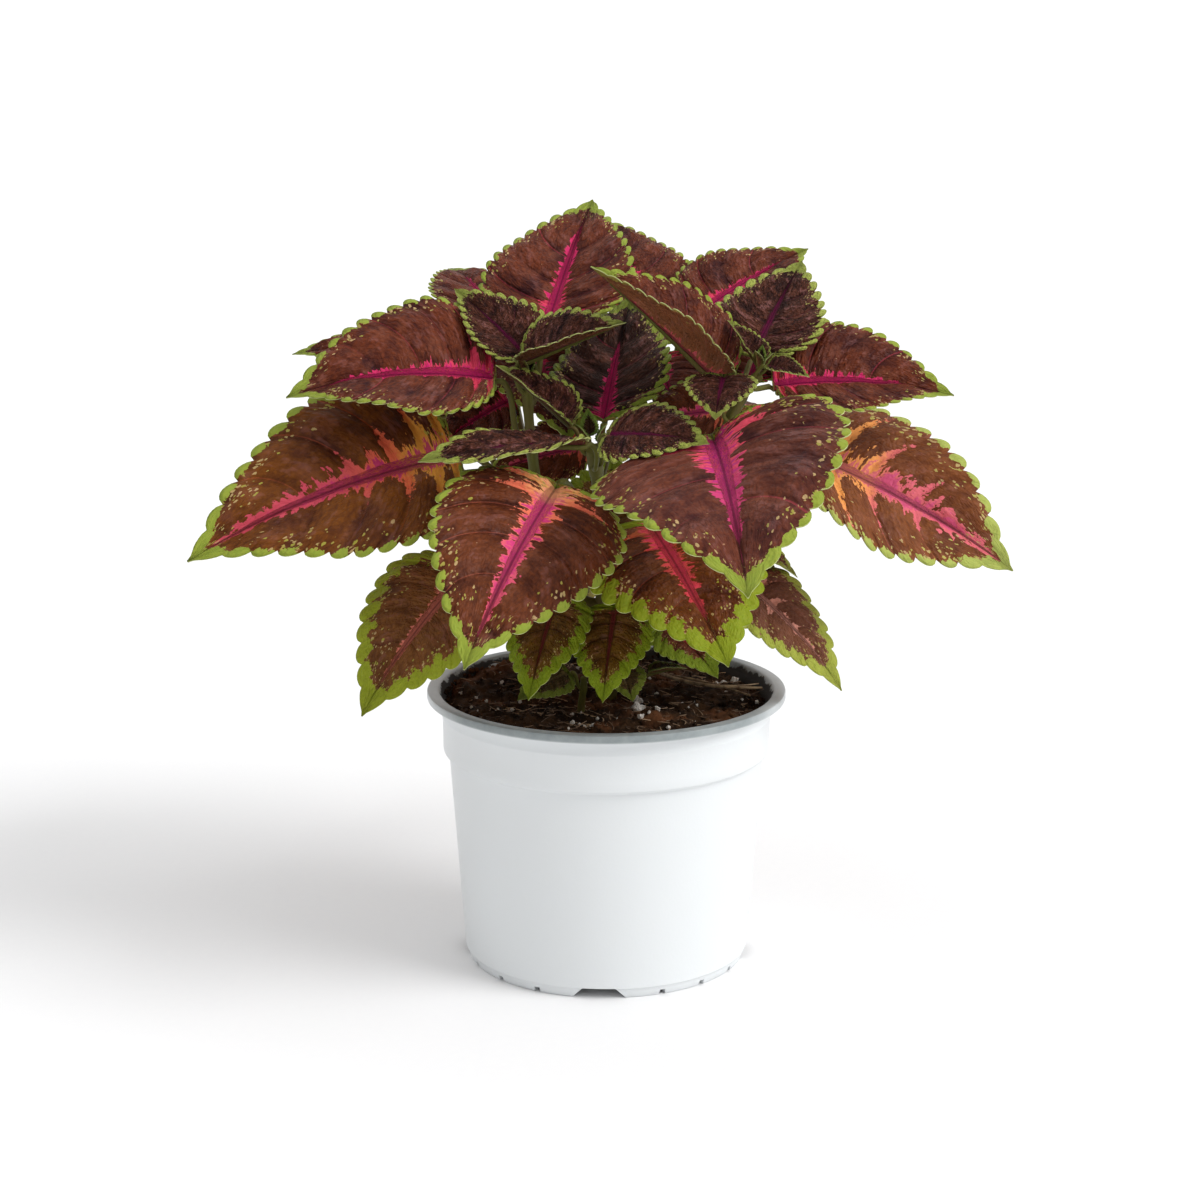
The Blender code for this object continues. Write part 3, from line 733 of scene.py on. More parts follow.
def set_attribute(mesh, name, values):
    """Stores a number for each vertex or, where the values are rows, a vector."""
    kind, key = ("FLOAT_VECTOR", "vector") if values.ndim == 2 else ("FLOAT", "value")
    attribute = mesh.attributes.get(name) or mesh.attributes.new(name, kind, "POINT")
    attribute.data.foreach_set(key, np.ascontiguousarray(values, np.float32).ravel())


def empty_slots(piece):
    """Room for four materials: upper side, underside, rim and stalk."""
    piece.data.materials.clear()
    for _ in range(4):
        piece.data.materials.append(None)


def leaf_pattern(name, beads, steps_per_bead, rays, bead_depth, puff, wrinkle):
    """One flat leaf along +X, its upper side up. Its blade is a grid laid along the lateral veins."""
    deselect()
    stations = beads * steps_per_bead
    bpy.ops.mesh.primitive_grid_add(x_subdivisions=stations, y_subdivisions=2 * rays, size=2)
    blade = bpy.context.object
    blade.name = blade.data.name = name
    grid = points_of(blade) / 1000
    order = np.lexsort((grid[:, 1], grid[:, 0]))
    back = np.argsort(order)
    u = ((grid[order, 0] + 1) / 2).reshape(stations + 1, 2 * rays + 1)
    ray = grid[order, 1].reshape(u.shape)
    side, reach = np.sign(ray), np.abs(ray)
    station = 1 - (1 - u) ** (1 / 1.15)

    # The margin, and how its beads stand out from it; the half width of the stalk is added to both
    outline, tangent = margin_at(station[:, 0])
    bead = np.sin(np.pi * ((u[:, 0] * beads) % 1) ** 1.12) ** 0.6
    fade = soft(station[:, 0], 0.02, 0.09) * (1 - 0.55 * soft(station[:, 0], 0.78, 0.93))
    fade *= 1 - soft(station[:, 0], 0.95, 0.99)
    outward = np.stack([-tangent[:, 1], tangent[:, 0]], axis=1)
    beaded = outline + outward * (bead_depth * fade * (bead - 0.6))[:, None]
    beaded += tangent * (bead_depth * fade * 0.35 * bead)[:, None]
    stalk_half = 1.1 * (1 - station[:, 0]) + 0.2 * station[:, 0]
    for line in (outline, beaded):
        line[:, 1] = np.sqrt(line[:, 1] ** 2 + stalk_half**2)

    # The rays: each bends from its start on the midrib to its end on the margin
    start_x = BLADE_LENGTH * station**RAY_START_POWER
    ends = outline[:, None, :]
    run_x, run_y = ends[..., 0] - start_x, ends[..., 1]
    bend_x, bend_y = start_x + 0.15 * run_x, 0.66 * run_y
    x = (1 - reach) ** 2 * start_x + 2 * (1 - reach) * reach * bend_x + reach**2 * ends[..., 0]
    y = 2 * (1 - reach) * reach * bend_y + reach**2 * run_y
    push = soft(reach, 0.72, 1.0)[..., None] * (beaded - outline)[:, None, :]
    x, y = x + push[..., 0], y + push[..., 1]

    # How far each point is from the next lateral vein and from the smooth outline
    vein_phase = (u * VEIN_PAIRS + 0.45 + 0.06 * side) % 1
    vein_share = 2 * np.minimum(vein_phase, 1 - vein_phase)
    along_u = np.stack([np.gradient(x, axis=0), np.gradient(y, axis=0)], axis=-1) * stations
    along_r = np.stack([np.gradient(x, axis=1), np.gradient(y * side, axis=1)], axis=-1)
    spacing = np.abs(along_u[..., 0] * along_r[..., 1] - along_u[..., 1] * side * along_r[..., 0])
    spacing /= np.linalg.norm(along_r, axis=-1) + 1e-6
    vein = vein_share / 2 / VEIN_PAIRS * spacing
    slope = np.gradient(half_width(np.linspace(0, 1, 401))) * 400 * BLADE_WIDTH / 2 / BLADE_LENGTH
    lean = 1 / np.sqrt(1 + np.interp(x / BLADE_LENGTH, np.linspace(0, 1, 401), slope) ** 2)
    edge = (half_width(x / BLADE_LENGTH) * BLADE_WIDTH / 2 - y) * lean

    # The relief: puffs between the veins with ripples on them, a trough for the midrib, and round beads
    between = np.sin(np.pi * vein_phase) ** 0.8
    inner = soft(reach, 0.0, 0.22) * (1 - soft(reach, 0.72, 0.97)) * (1 - soft(station, 0.86, 0.98))
    ripple = np.sin(2 * np.pi * (reach * 7.5 + 0.3 * np.cos(2 * np.pi * vein_phase)) + 1.3 * side)
    z = (puff + wrinkle * ripple) * between * inner
    z -= 0.55 * np.exp(-((y / 1.2) ** 2)) * (1 - station)
    rounded = bead[:, None] * soft(reach, 0.84, 0.92) * fade[:, None]
    z += 0.12 * bead_depth * rounded - 0.10 * bead_depth * soft(reach, 0.93, 1.0) * fade[:, None]

    flat = np.stack([x, y * side, z], axis=-1).reshape(-1, 3)[back]
    place_points(blade, flat)
    grain = np.stack([u * BLADE_LENGTH, reach * BLADE_WIDTH / 2, side * 30], axis=-1)
    measures = {"edge": edge, "rib": y, "along": x / BLADE_LENGTH, "vein": vein}
    measures |= {"root": u, "bead": bead[:, None] + 0 * u, "between": vein_share}
    for key, values in measures.items():
        set_attribute(blade.data, key, values.ravel()[back])
    set_attribute(blade.data, "grain", grain.reshape(-1, 3)[back])
    set_attribute(blade.data, "flat", flat)
    wall = blade.modifiers.new("Thickness", "SOLIDIFY")
    wall.thickness = mm(BLADE_THICKNESS)
    wall.offset = -1
    wall.material_offset = 1
    wall.material_offset_rim = 2
    empty_slots(blade)
    apply_modifiers(blade)

    # The stalk, wider at its foot, which runs on under the blade as the midrib
    heights = np.concatenate([np.linspace(-STALK_LENGTH, 0, 25), np.linspace(4, MIDRIB_LENGTH, 18)])
    flare = 0.5 * np.exp(-(((heights + STALK_LENGTH) / 5) ** 2))
    widths = 1.15 + flare - 0.85 * soft(heights, 0, MIDRIB_LENGTH)
    stalk = turned(name + "_stalk", list(zip(widths.tolist(), heights.tolist())), 12)
    points = points_of(stalk)
    groove = -0.2 - 0.55 * (1 - np.clip(points[:, 2] / BLADE_LENGTH, 0, 1) ** (1 / RAY_START_POWER))
    depth = soft(points[:, 2], -8, 3) * (groove - np.interp(points[:, 2], heights, widths))
    points = np.stack([points[:, 2], points[:, 1], -points[:, 0] + depth], axis=1)
    place_points(stalk, points)
    for key, value in (("edge", 50), ("rib", 0), ("vein", 5), ("root", 0.5), ("bead", 0), ("between", 0.5)):
        set_attribute(stalk.data, key, np.full(len(points), value))
    set_attribute(stalk.data, "along", points[:, 0] / BLADE_LENGTH)
    set_attribute(stalk.data, "grain", points)
    set_attribute(stalk.data, "flat", points)
    slots = [face.material_index for face in blade.data.polygons] + [3] * len(stalk.data.polygons)
    select_only(blade)
    stalk.select_set(True)
    bpy.ops.object.join()
    empty_slots(blade)
    blade.data.polygons.foreach_set("material_index", slots)
    blade.data.shade_smooth()
    return blade


patterns = {
    # For each kind: its beads, steps to a bead and rays, then the depth of beads, puffs and ripples
    "low": leaf_pattern("low_leaf", 12, 7, 14, 2.2, 1.3, 0.18),
    "old": leaf_pattern("old_leaf", 15, 7, 15, 2.3, 1.7, 0.22),
    "mature": leaf_pattern("mature_leaf", 17, 6, 15, 2.1, 1.8, 0.28),
    "young": leaf_pattern("young_leaf", 13, 7, 14, 2.9, 1.4, 0.50),
}


# ----------------------------
# Leaf colours: a coleus leaf is dyed in zones. The margin is lime green where no red pigment forms, the body
# is maroon, and a jagged flame of pink runs along the midrib and out along the first veins. The zones meet in
# torn edges, with lime flecks left inside the margin. The underside is the same, dulled and paler.

COLOUR_INPUTS = ("Body", "Deep", "Margin", "Fleck", "Core", "Fringe", "Glow")
NUMBER_INPUTS = ("Margin Width", "Notch Share", "Fleck Reach", "Flame Width", "Flame Length", "Core Inset")
NUMBER_INPUTS += ("Tongue Length", "Tongue Fade", "Glow Reach", "Glow Over Core", "Quilt")
PAINTED_CREST_HIGHLIGHT = (0.40, 0.17, 0.16)
SHEEN_BROWN = (0.32, 0.110, 0.065)
SUGAR_TAN = (0.50, 0.27, 0.15)
FLECK_TAN = (0.52, 0.36, 0.17)
UNDERSIDE_BROWN = (0.42, 0.17, 0.07)
CUT_GREEN = (0.36, 0.44, 0.12)
CUT_YELLOW = (0.55, 0.55, 0.24)
LIME = (0.245, 0.315, 0.038)

variegation = bpy.data.node_groups.new("variegation", "ShaderNodeTree")
sockets = [(name, "INPUT", "Color") for name in COLOUR_INPUTS]
sockets += [(name, "INPUT", "Float") for name in NUMBER_INPUTS]
sockets += [("Color", "OUTPUT", "Color"), ("Height", "OUTPUT", "Float"), ("Roughness", "OUTPUT", "Float")]
for name, direction, kind in sockets:
    variegation.interface.new_socket(name, in_out=direction, socket_type="NodeSocket" + kind)
inputs = variegation.nodes.new("NodeGroupInput").outputs
given = {name: Signal(inputs[name]) for name in COLOUR_INPUTS + NUMBER_INPUTS}
result = variegation.nodes.new("NodeGroupOutput").inputs


def measure(name, output="Fac"):
    """One of the leaf pattern's own measures: in millimetres, as a share, or a place."""
    return Signal(add_node(variegation, "Attribute", {"attribute_name": name}).outputs[output])


def uneven(place, scale, detail=2.0, rough=0.5):
    """Noise from about -0.3 to 0.3."""
    return place.noise(scale, detail, rough) - 0.5


edge, rib, along, vein = map(measure, ("edge", "rib", "along", "vein"))
root, bead, between = map(measure, ("root", "bead", "between"))
flat, grain = measure("flat", "Vector"), measure("grain", "Vector")
torn = uneven(flat, 0.60, 5.0, 0.68)
broad = uneven(flat, 0.06, 3.0)
teeth = uneven(stretched(grain, 1.0, 0.28, 1.0), 0.62, 3.0, 0.62)
ridges = uneven(stretched(grain, 1.0, 0.42, 1.0), 0.30)
wrinkles = uneven(stretched(grain, 1.0, 0.34, 1.0), 0.80)
relief = (ridges + wrinkles) * 0.7

# The body: maroon, deeper in broad patches and round each puff, with painted shade along the veins, redder on
# the finest vein lines; painted shade in the wrinkles' creases, painted highlights on their crests, a painted
# warm sheen in patches
depth = torn * 1.6 + broad * 3.0 + teeth * 0.9 - vein.step(0.3, 2.6) * 0.35 + 0.50
body = blend_colours(depth, given["Body"], given["Deep"])
from_edge = cells(grain, 0.52, "DISTANCE_TO_EDGE")[0]
puffs = (torn * 0.12 + from_edge).step(0.0, 0.26)
body = blend_colours((1.0 - puffs) * 0.25, body, given["Deep"])
body = blend_colours((1.0 - vein.step(0.08, 0.40)) * 0.24, body, given["Fringe"])
crinkled = maths("MINIMUM", given["Quilt"] * 0.7 + 0.12, 1.0)
# Painted shade in the creases of the wrinkles
painted_crease_shade = (1.0 - relief.step(-0.16, 0.02)) * (crinkled * 0.4 + 0.35)
body = blend_colours(painted_crease_shade, body, given["Deep"])
# Painted highlights on the crests of the wrinkles, then a painted warm sheen in patches
body = blend_colours(relief.step(0.04, 0.20) * crinkled * 0.36, body, PAINTED_CREST_HIGHLIGHT)
body = blend_colours(uneven(flat, 0.11, 3.0, 0.6).step(0.02, 0.22) * 0.22, body, SHEEN_BROWN)

# Pale specks, like grains of sugar
from_middle, drawn = cells(flat, 0.42)[:2]
speck = (drawn.parts("Color")[0] > 0.86) * (from_middle < 0.11)
body = blend_colours(speck * 0.6, body, SUGAR_TAN)

# The flame: a core along the midrib and tongues along the first veins, both torn into fishbone teeth
burnt = maths("MAXIMUM", 1.0 - along / given["Flame Length"], 0.0) ** 0.8
ragged = maths("MAXIMUM", teeth * 5.4 + 1.0, 0.35)
in_core = given["Flame Width"] * burnt * ragged - rib
tongue = given["Tongue Length"] * maths("MAXIMUM", 1.0 - root / given["Tongue Fade"], 0.0)
tongue = maths("MAXIMUM", tongue * (torn * 1.2 + 1.0), 0.1)
in_tongue = (1.0 - rib / tongue) * 3.2 + teeth * 3.8 + torn * 1.6 - vein
in_gap = teeth * 3.0 - between * 4.0 + 2.4
inside_flame = maths("MAXIMUM", in_core, maths("MINIMUM", in_tongue, in_gap))
core = (torn * 2.5 + in_core - given["Core Inset"]).step(0.0, 1.3)
fringe = blend_colours(along.step(0.2, 0.5) * 0.65, given["Fringe"], given["Core"])
flame_colour = blend_colours(core, fringe, given["Core"])
from_base = maths("SQRT", (along * BLADE_LENGTH) ** 2.0 + rib * rib * 0.6)
warm = torn * 9.0 + given["Glow Reach"] - from_base
on_core = core * (1.0 - given["Glow Over Core"])
flame_colour = blend_colours(warm.step(-3.5, 3.5) * (1.0 - on_core), flame_colour, given["Glow"])
coloured = blend_colours(inside_flame.step(-0.12, 0.22), body, flame_colour)
midrib_line = 1.0 - rib.step(0.15, 0.50)
coloured = blend_colours(midrib_line * 0.5, coloured, given["Deep"])

# The margin: a lime crescent in each bead, maroon in the notches, and a whole lime point at the tip
at_tip = along.step(0.74, 0.90)
lobe = maths("MAXIMUM", bead, at_tip * 0.9)
uneven_by = given["Margin Width"] * 0.7 + 2.6
width = given["Margin Width"] * (lobe + (1.0 - lobe) * given["Notch Share"])
width = width + uneven_by * (uneven(flat, 0.26, 3.0, 0.55) * 1.3 + torn + teeth * 0.8) + at_tip * 1.7
green = (width - edge).step(-0.10, 0.10)

# Flecks lie inside the margin, in clusters, as short dashes along the small veins
from_middle, drawn = cells(stretched(grain, 1.0, 0.62, 1.0), 1.0)[:2]
_, chance, paleness = drawn.parts("Color")
fade = (edge - given["Margin Width"]) / given["Fleck Reach"]
limit = fade * 0.62 - uneven(flat, 0.16) * 2.2 + 0.46
fleck = (chance > limit) * (torn * 1.4 + from_middle < 0.38) * (fade < 1.0)
coloured = blend_colours(fleck * 0.8, coloured, blend_colours(paleness, given["Fleck"], FLECK_TAN))
lime = blend_colours(torn * 0.9 + 0.15, given["Margin"], given["Fleck"])
feed(result["Color"], blend_colours(green, coloured, lime))

# The surface: ridges and wrinkles across the blade, puffs, sunken veins, and a fine grain of hairs
hair = uneven(flat, 3.0)
height = relief * (crinkled * 5.0 + 2.0) + hair * 0.35 + puffs * given["Quilt"] + vein.step(0.05, 1.1) * 0.9
feed(result["Height"], height)
feed(result["Roughness"], hair * 0.25 - relief * 0.4 + 0.42)

LEAF_LOOKS = {
    # Body, deep, margin and fleck; core, fringe and glow; then the numbers, in the order of NUMBER_INPUTS
    "bud": (
        ((0.07, 0.04, 0.012), (0.03, 0.012, 0.008), (0.22, 0.33, 0.05), (0.3, 0.36, 0.08)),
        ((0.16, 0.02, 0.05), (0.12, 0.02, 0.03), (0.16, 0.16, 0.03)),
        (11.0, 0.8, 4.0, 1.2, 0.6, 0.3, 5.0, 0.6, 3.0, 0.0, 0.8),
    ),
    "base": (
        ((0.085, 0.06, 0.014), (0.036, 0.02, 0.007), (0.15, 0.19, 0.022), (0.22, 0.25, 0.04)),
        ((0.34, 0.26, 0.12), (0.26, 0.18, 0.07), (0.24, 0.22, 0.06)),
        (9.0, 0.8, 5.0, 2.0, 0.8, 0.3, 14.0, 0.6, 4.0, 1.0, 0.5),
    ),
    "patch": (
        ((0.13, 0.034, 0.012), (0.06, 0.014, 0.008), (0.15, 0.215, 0.014), (0.24, 0.26, 0.03)),
        ((0.5, 0.03, 0.06), (0.44, 0.05, 0.03), (0.3, 0.12, 0.04)),
        (12.0, 0.8, 6.0, 4.6, 0.6, 0.6, 16.0, 0.5, 4.0, 0.6, 0.4),
    ),
    "low": (
        ((0.15, 0.074, 0.006), (0.06, 0.024, 0.004), (0.175, 0.25, 0.008), (0.28, 0.3, 0.03)),
        ((0.3, 0.028, 0.045), (0.24, 0.04, 0.03), (0.3, 0.09, 0.04)),
        (8.4, 0.6, 7.0, 1.8, 0.76, 0.6, 9.0, 0.6, 6.0, 0.6, 0.4),
    ),
    "faded": (
        ((0.2, 0.078, 0.02), (0.08, 0.026, 0.009), (0.26, 0.31, 0.016), (0.36, 0.36, 0.06)),
        ((0.66, 0.19, 0.14), (0.56, 0.15, 0.09), (0.5, 0.2, 0.08)),
        (6.4, 0.5, 9.0, 3.4, 0.84, 0.5, 34.0, 0.6, 6.0, 0.6, 0.4),
    ),
    "pale": (
        ((0.19, 0.072, 0.036), (0.1, 0.032, 0.018), (0.34, 0.39, 0.055), (0.4, 0.38, 0.08)),
        ((0.7, 0.32, 0.25), (0.6, 0.24, 0.17), (0.5, 0.24, 0.12)),
        (6.2, 0.5, 9.0, 2.6, 1.00, 0.2, 34.0, 0.9, 6.0, 0.6, 0.4),
    ),
    "broad": (
        ((0.145, 0.042, 0.006), (0.05, 0.011, 0.004), (0.21, 0.275, 0.012), (0.34, 0.34, 0.03)),
        ((0.66, 0.045, 0.09), (0.56, 0.085, 0.04), (0.34, 0.1, 0.03)),
        (6.6, 0.4, 9.0, 5.6, 0.72, 0.9, 44.0, 0.5, 10.0, 0.3, 0.35),
    ),
    "old": (
        ((0.138, 0.034, 0.009), (0.036, 0.007, 0.004), LIME, (0.36, 0.34, 0.05)),
        ((0.62, 0.05, 0.19), (0.8, 0.18, 0.1), (0.8, 0.4, 0.14)),
        (1.8, -0.25, 8.0, 5.4, 0.86, 0.9, 46.0, 0.6, 8.0, 0.7, 0.35),
    ),
    "sunny": (
        ((0.165, 0.05, 0.006), (0.056, 0.013, 0.005), LIME, (0.36, 0.34, 0.05)),
        ((0.46, 0.035, 0.12), (0.66, 0.12, 0.055), (0.66, 0.29, 0.045)),
        (1.7, -0.25, 8.0, 5.4, 0.94, 1.6, 32.0, 0.9, 15.0, 0.1, 0.35),
    ),
    "glowing": (
        ((0.21, 0.066, 0.019), (0.09, 0.024, 0.01), (0.35, 0.41, 0.09), (0.46, 0.44, 0.1)),
        ((0.6, 0.09, 0.19), (0.8, 0.22, 0.11), (0.84, 0.34, 0.09)),
        (1.8, -0.15, 9.0, 8.0, 0.96, 1.6, 56.0, 0.95, 30.0, 0.3, 0.35),
    ),
    "rosy": (
        ((0.136, 0.034, 0.016), (0.038, 0.007, 0.007), LIME, (0.36, 0.34, 0.05)),
        ((0.46, 0.026, 0.17), (0.7, 0.075, 0.12), (0.7, 0.09, 0.08)),
        (1.5, -0.25, 7.0, 5.0, 0.76, 1.4, 70.0, 0.44, 4.0, 0.0, 0.4),
    ),
    "mature": (
        ((0.14, 0.03, 0.01), (0.03, 0.005, 0.006), LIME, (0.34, 0.32, 0.06)),
        ((0.54, 0.016, 0.13), (0.64, 0.048, 0.1), (0.6, 0.05, 0.06)),
        (1.5, -0.25, 6.0, 4.0, 0.8, 0.6, 28.0, 0.62, 4.0, 0.0, 0.5),
    ),
    "crown": (
        ((0.046, 0.016, 0.009), (0.015, 0.005, 0.004), (0.17, 0.22, 0.025), (0.25, 0.24, 0.04)),
        ((0.56, 0.016, 0.12), (0.46, 0.02, 0.09), (0.2, 0.008, 0.05)),
        (3.8, 0.2, 8.0, 4.2, 0.6, 0.4, 18.0, 0.5, 3.0, 0.0, 0.6),
    ),
    "young": (
        ((0.1, 0.03, 0.016), (0.018, 0.006, 0.006), (0.36, 0.42, 0.08), (0.4, 0.38, 0.09)),
        ((0.26, 0.016, 0.1), (0.2, 0.01, 0.06), (0.22, 0.014, 0.05)),
        (3.4, -0.2, 5.0, 2.0, 0.8, 0.2, 6.0, 0.6, 3.0, 0.0, 1.5),
    ),
}


def leaf_skin(name, colours, sizes, dull, depth):
    """One side of a leaf. dull blends each colour towards a warm brown, for the paler underside."""
    skin, shader = new_material(name, IOR=1.42, Specular_IOR_Level=0.12)
    zones = add_node(shader.id_data, "Group", {"node_tree": variegation})
    for socket, colour in zip(COLOUR_INPUTS, colours):
        mixed = [channel * (1 - dull) + brown * dull for channel, brown in zip(colour, UNDERSIDE_BROWN)]
        zones.inputs[socket].default_value = (*mixed, 1)
    for socket, size in zip(NUMBER_INPUTS, sizes):
        zones.inputs[socket].default_value = size
    colour, height, roughness = (Signal(output) for output in zones.outputs)
    paint(shader, colour)
    feed(shader.inputs["Roughness"], roughness)
    bump_from(shader, height, depth)
    return skin


leaf_materials = {}
cut_edge = mottled("leaf_rim", CUT_GREEN, CUT_YELLOW, lambda place: place.noise(400.0), None, 0.5)
for look, (body_colours, flame_colours, sizes) in LEAF_LOOKS.items():
    colours = body_colours + flame_colours
    upper_side = leaf_skin(look + "_leaf_upper", colours, sizes, 0, 0.30)
    underside = leaf_skin(look + "_leaf_under", colours, sizes, 0.42, -0.4)
    leaf_materials[look] = (upper_side, underside, cut_edge, stalk_green)


# ----------------------------
# Leaves: each is a copy of its kind's flat leaf, bent into the place that its CAD node holds. The stalk
# leaves its stem squarely and runs on under the blade as the midrib, and each blade waves in its own way.

MIDRIB_POINTS = 181
STALK_POINTS = 61
WAVE_COUNT = 2.2
WAVE_DEPTH = 0.022
STALK_SUNK = 0.8


def along_line(values, share):
    """Reads a row of points or directions at shares of its length."""
    steps = np.linspace(0, 1, len(values))
    return np.stack([np.interp(share, steps, values[:, i]) for i in range(3)], axis=-1)


def unit(rows):
    return rows / np.linalg.norm(rows, axis=1)[:, None]


def bent(flat, leaf, line, radii, wave):
    """Bends a flat leaf's points into place."""
    start, heading, pitch, droop, roll, twist, fold, arch, length, width = leaf[2:]
    start = np.array(start, float)
    across_heading = np.array([-math.sin(math.radians(heading)), math.cos(math.radians(heading)), 0.0])
    steps = np.linspace(0, 1, MIDRIB_POINTS)
    pitches = np.radians(pitch - droop * steps)
    forward = np.cos(pitches)[:, None] * np.array([across_heading[1], -across_heading[0], 0.0])
    forward[:, 2] = np.sin(pitches)
    middles = (forward[1:] + forward[:-1]) / 2 * length / (MIDRIB_POINTS - 1)
    midrib = start + np.vstack([np.zeros(3), np.cumsum(middles, axis=0)])
    above = np.cross(forward, across_heading)
    lean = np.radians(roll + twist * steps)[:, None]
    sides = across_heading * np.cos(lean) + above * np.sin(lean)
    normals = above * np.cos(lean) - across_heading * np.sin(lean)

    # The blade: its halves fold up from the midrib and arch down again, and the margin waves
    along = np.clip(flat[:, 0] / BLADE_LENGTH, 0, 1)
    size = 0.35 + 0.65 * length / BLADE_LENGTH
    out = flat[:, 1] * width / BLADE_WIDTH
    share_out = np.abs(out) / (width / 2)
    waves = np.sin(2 * np.pi * (WAVE_COUNT * along + wave) + np.sign(out) * 0.9) * (0.35 + 0.65 * along)
    lift = flat[:, 2] * size + WAVE_DEPTH * length * waves * share_out**2 * soft(along, 0.05, 0.3)
    curl = math.radians(arch) / (width / 2)
    rise = math.radians(fold)
    slope = rise - curl * np.abs(out)
    aside = np.sign(out) * (math.sin(rise) - np.sin(slope)) / curl
    up = (np.cos(slope) - math.cos(rise)) / curl + lift
    blade = along_line(midrib, along)
    blade = blade + along_line(sides, along) * aside[:, None] + along_line(normals, along) * up[:, None]

    # The stalk: it leaves the stem at a right angle and turns to meet the blade, its foot sunk in the stem
    foot, outward = beside(line, radii, leaf[1], start, -STALK_SUNK)
    gap = np.linalg.norm(start - foot)
    stalk = cubic(foot, foot + outward * gap * 0.35, start - forward[0] * gap * 0.4, start, STALK_POINTS)
    share = np.clip(1 + flat[:, 0] / STALK_LENGTH, 0, 1)
    foot_side = np.array([-outward[1], outward[0], 0.0])
    stalk_side = unit(foot_side * (1 - share[:, None]) + sides[0] * share[:, None])
    stalk_above = unit(np.cross(along_line(np.gradient(stalk, axis=0), share), stalk_side))
    thick = 0.45 + 0.55 * length / BLADE_LENGTH
    stem_side = along_line(stalk, share) + stalk_side * (flat[:, 1] * thick)[:, None]
    stem_side = stem_side + stalk_above * (flat[:, 2] * thick)[:, None]
    return np.where((flat[:, 0] < 0)[:, None], stem_side, blade)


def copied_leaf(name, leaf, look, line, radii, number):
    """A finished leaf: its kind's flat leaf, copied, bent and coloured. Its number shifts its markings."""
    mesh = patterns[leaf[0]].data.copy()
    mesh.name = name
    piece = new_object(name, mesh)
    place_points(piece, bent(points_of(piece), leaf, line, radii, number * 0.37))
    for key, shift in (("flat", (61.0, 17.0, 0.0)), ("grain", (90.0, 0.0, 7.0))):
        values = np.empty(len(mesh.vertices) * 3, np.float32)
        mesh.attributes[key].data.foreach_get("vector", values)
        set_attribute(mesh, key, values.reshape(-1, 3) + np.array(shift) * number)
    for slot_number, material in enumerate(leaf_materials[look]):
        mesh.materials[slot_number] = material
    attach(piece, "root")
    "leaf_" + leaf[0]
    return piece


# The leaves whose colours aren't those of their age
OWN_LOOKS = {"left_1": "sunny", "right_1": "glowing", "right_2": "rosy", "main_5": "broad", "main_7": "crown"}
OWN_LOOKS |= {"main_3": "faded", "main_4": "pale", "main_15": "pale", "main_11": "bud", "main_16": "patch"}
OWN_LOOKS |= {"basal_1": "base", "main_18": "base", "main_19": "base"}
for number, (key, leaf) in enumerate(LEAVES.items(), 1):
    look = OWN_LOOKS.get(key, leaf[0])
    piece = copied_leaf("blade_" + key, leaf, look, *stems[key.rsplit("_", 1)[0]], number)
    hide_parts("leaf_" + key)


# ----------------------------
# Shoot tips: a few leaves still folded together where each shoot grows on, too small for CAD nodes. They are
# small copies of the young leaf, greener and nearly upright.

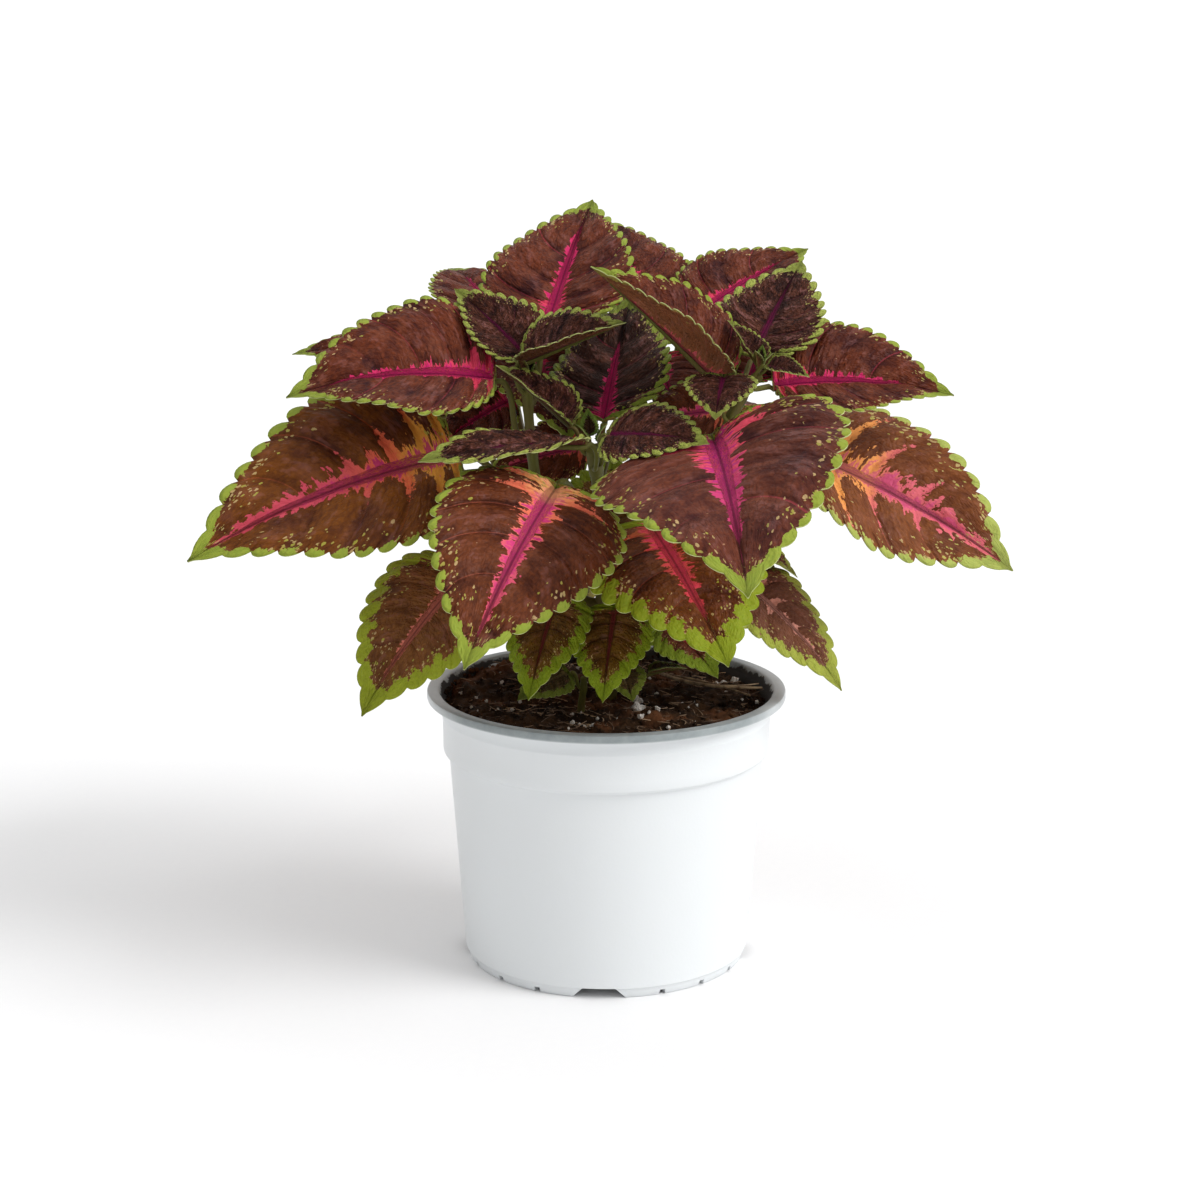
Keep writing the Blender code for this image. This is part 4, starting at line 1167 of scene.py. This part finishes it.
BUDS = {
    # For each shoot: the headings of its bud leaves, with their pitch, length and width
    "left": ((60, 62, 9, 5), (240, 66, 9, 5), (150, 70, 6, 3)),
    "right": ((80, 60, 9, 5), (250, 66, 8, 5), (-20, 72, 6, 3)),
    "rear_left": ((120, 62, 10, 6), (300, 66, 9, 5)),
    "rear_right": ((200, 62, 10, 6), (20, 66, 9, 5), (290, 72, 6, 3)),
    "main": ((190, 66, 8, 4), (10, 70, 7, 4)),
}
for name, buds in BUDS.items():
    line, radii = stems[name]
    for number, (heading, pitch, length, width) in enumerate(buds, 1):
        turn = math.radians(heading)
        start = line[-1] + (2.2 * math.cos(turn), 2.2 * math.sin(turn), 2.5)
        bud = ("young", line[-2][2], tuple(start), heading, pitch, 12, 0, 0, 45, 10, length, width)
        copied_leaf(f"bud_{name}_{number}", bud, "bud", line, radii, 60 + number)
for pattern in patterns.values():
    bpy.data.objects.remove(pattern)


# ----------------------------
# Studio: a white floor without end, daylight from all round, and one soft lamp high on the right that throws
# the plant's shadow to the left.

PAPER_WHITE = (0.88, 0.88, 0.88)
PAPER_SHADE = (0.86, 0.86, 0.87)
SKY_LEVEL = 0.38
SKY_OVERHEAD = 0.50
SKY_BEHIND = 0.17
LAMP_POWER = 2.1
LAMP_SOFTNESS = 34
LAMP_TURN = (18, 50, 0)
CAMERA_PLACE = (-2.3, -931, 351.5)
CAMERA_DIP = 13.23
CAMERA_LENS = 79.65

deselect()
bpy.ops.mesh.primitive_plane_add(size=400)
floor = bpy.context.object
floor.name = "studio_floor"
paper = mottled("white_paper", PAPER_SHADE, PAPER_WHITE, lambda place: place.noise(300.0), None, 0.9)
floor.data.materials.append(paper)

world = bpy.data.worlds.new("studio")
bpy.context.scene.world = world
world.use_nodes = True
tree = world.node_tree
background = tree.nodes["Background"]
background.inputs["Color"].default_value = (1, 1, 1, 1)
_, y, z = Signal(add_node(tree, "TexCoord").outputs["Generated"]).parts()
glow = z.step(-0.1, 0.9) * SKY_OVERHEAD + y.step(-0.7, 0.5) * SKY_BEHIND + SKY_LEVEL
seen = Signal(add_node(tree, "LightPath").outputs["Is Camera Ray"])
feed(background.inputs["Strength"], maths("MAXIMUM", glow, seen))

lamp = bpy.data.lights.new("soft_lamp", "SUN")
lamp.energy = LAMP_POWER
lamp.angle = math.radians(LAMP_SOFTNESS)
new_object("soft_lamp", lamp).rotation_euler = [math.radians(turn) for turn in LAMP_TURN]

camera_data = bpy.data.cameras.new("camera")
camera_data.lens = CAMERA_LENS
camera_data.sensor_width = 36
camera = new_object("camera", camera_data)
camera.location = mm(*CAMERA_PLACE)
camera.rotation_euler = (math.radians(90 - CAMERA_DIP), 0, 0)
bpy.context.scene.camera = camera
bpy.context.scene.view_settings.view_transform = "Standard"
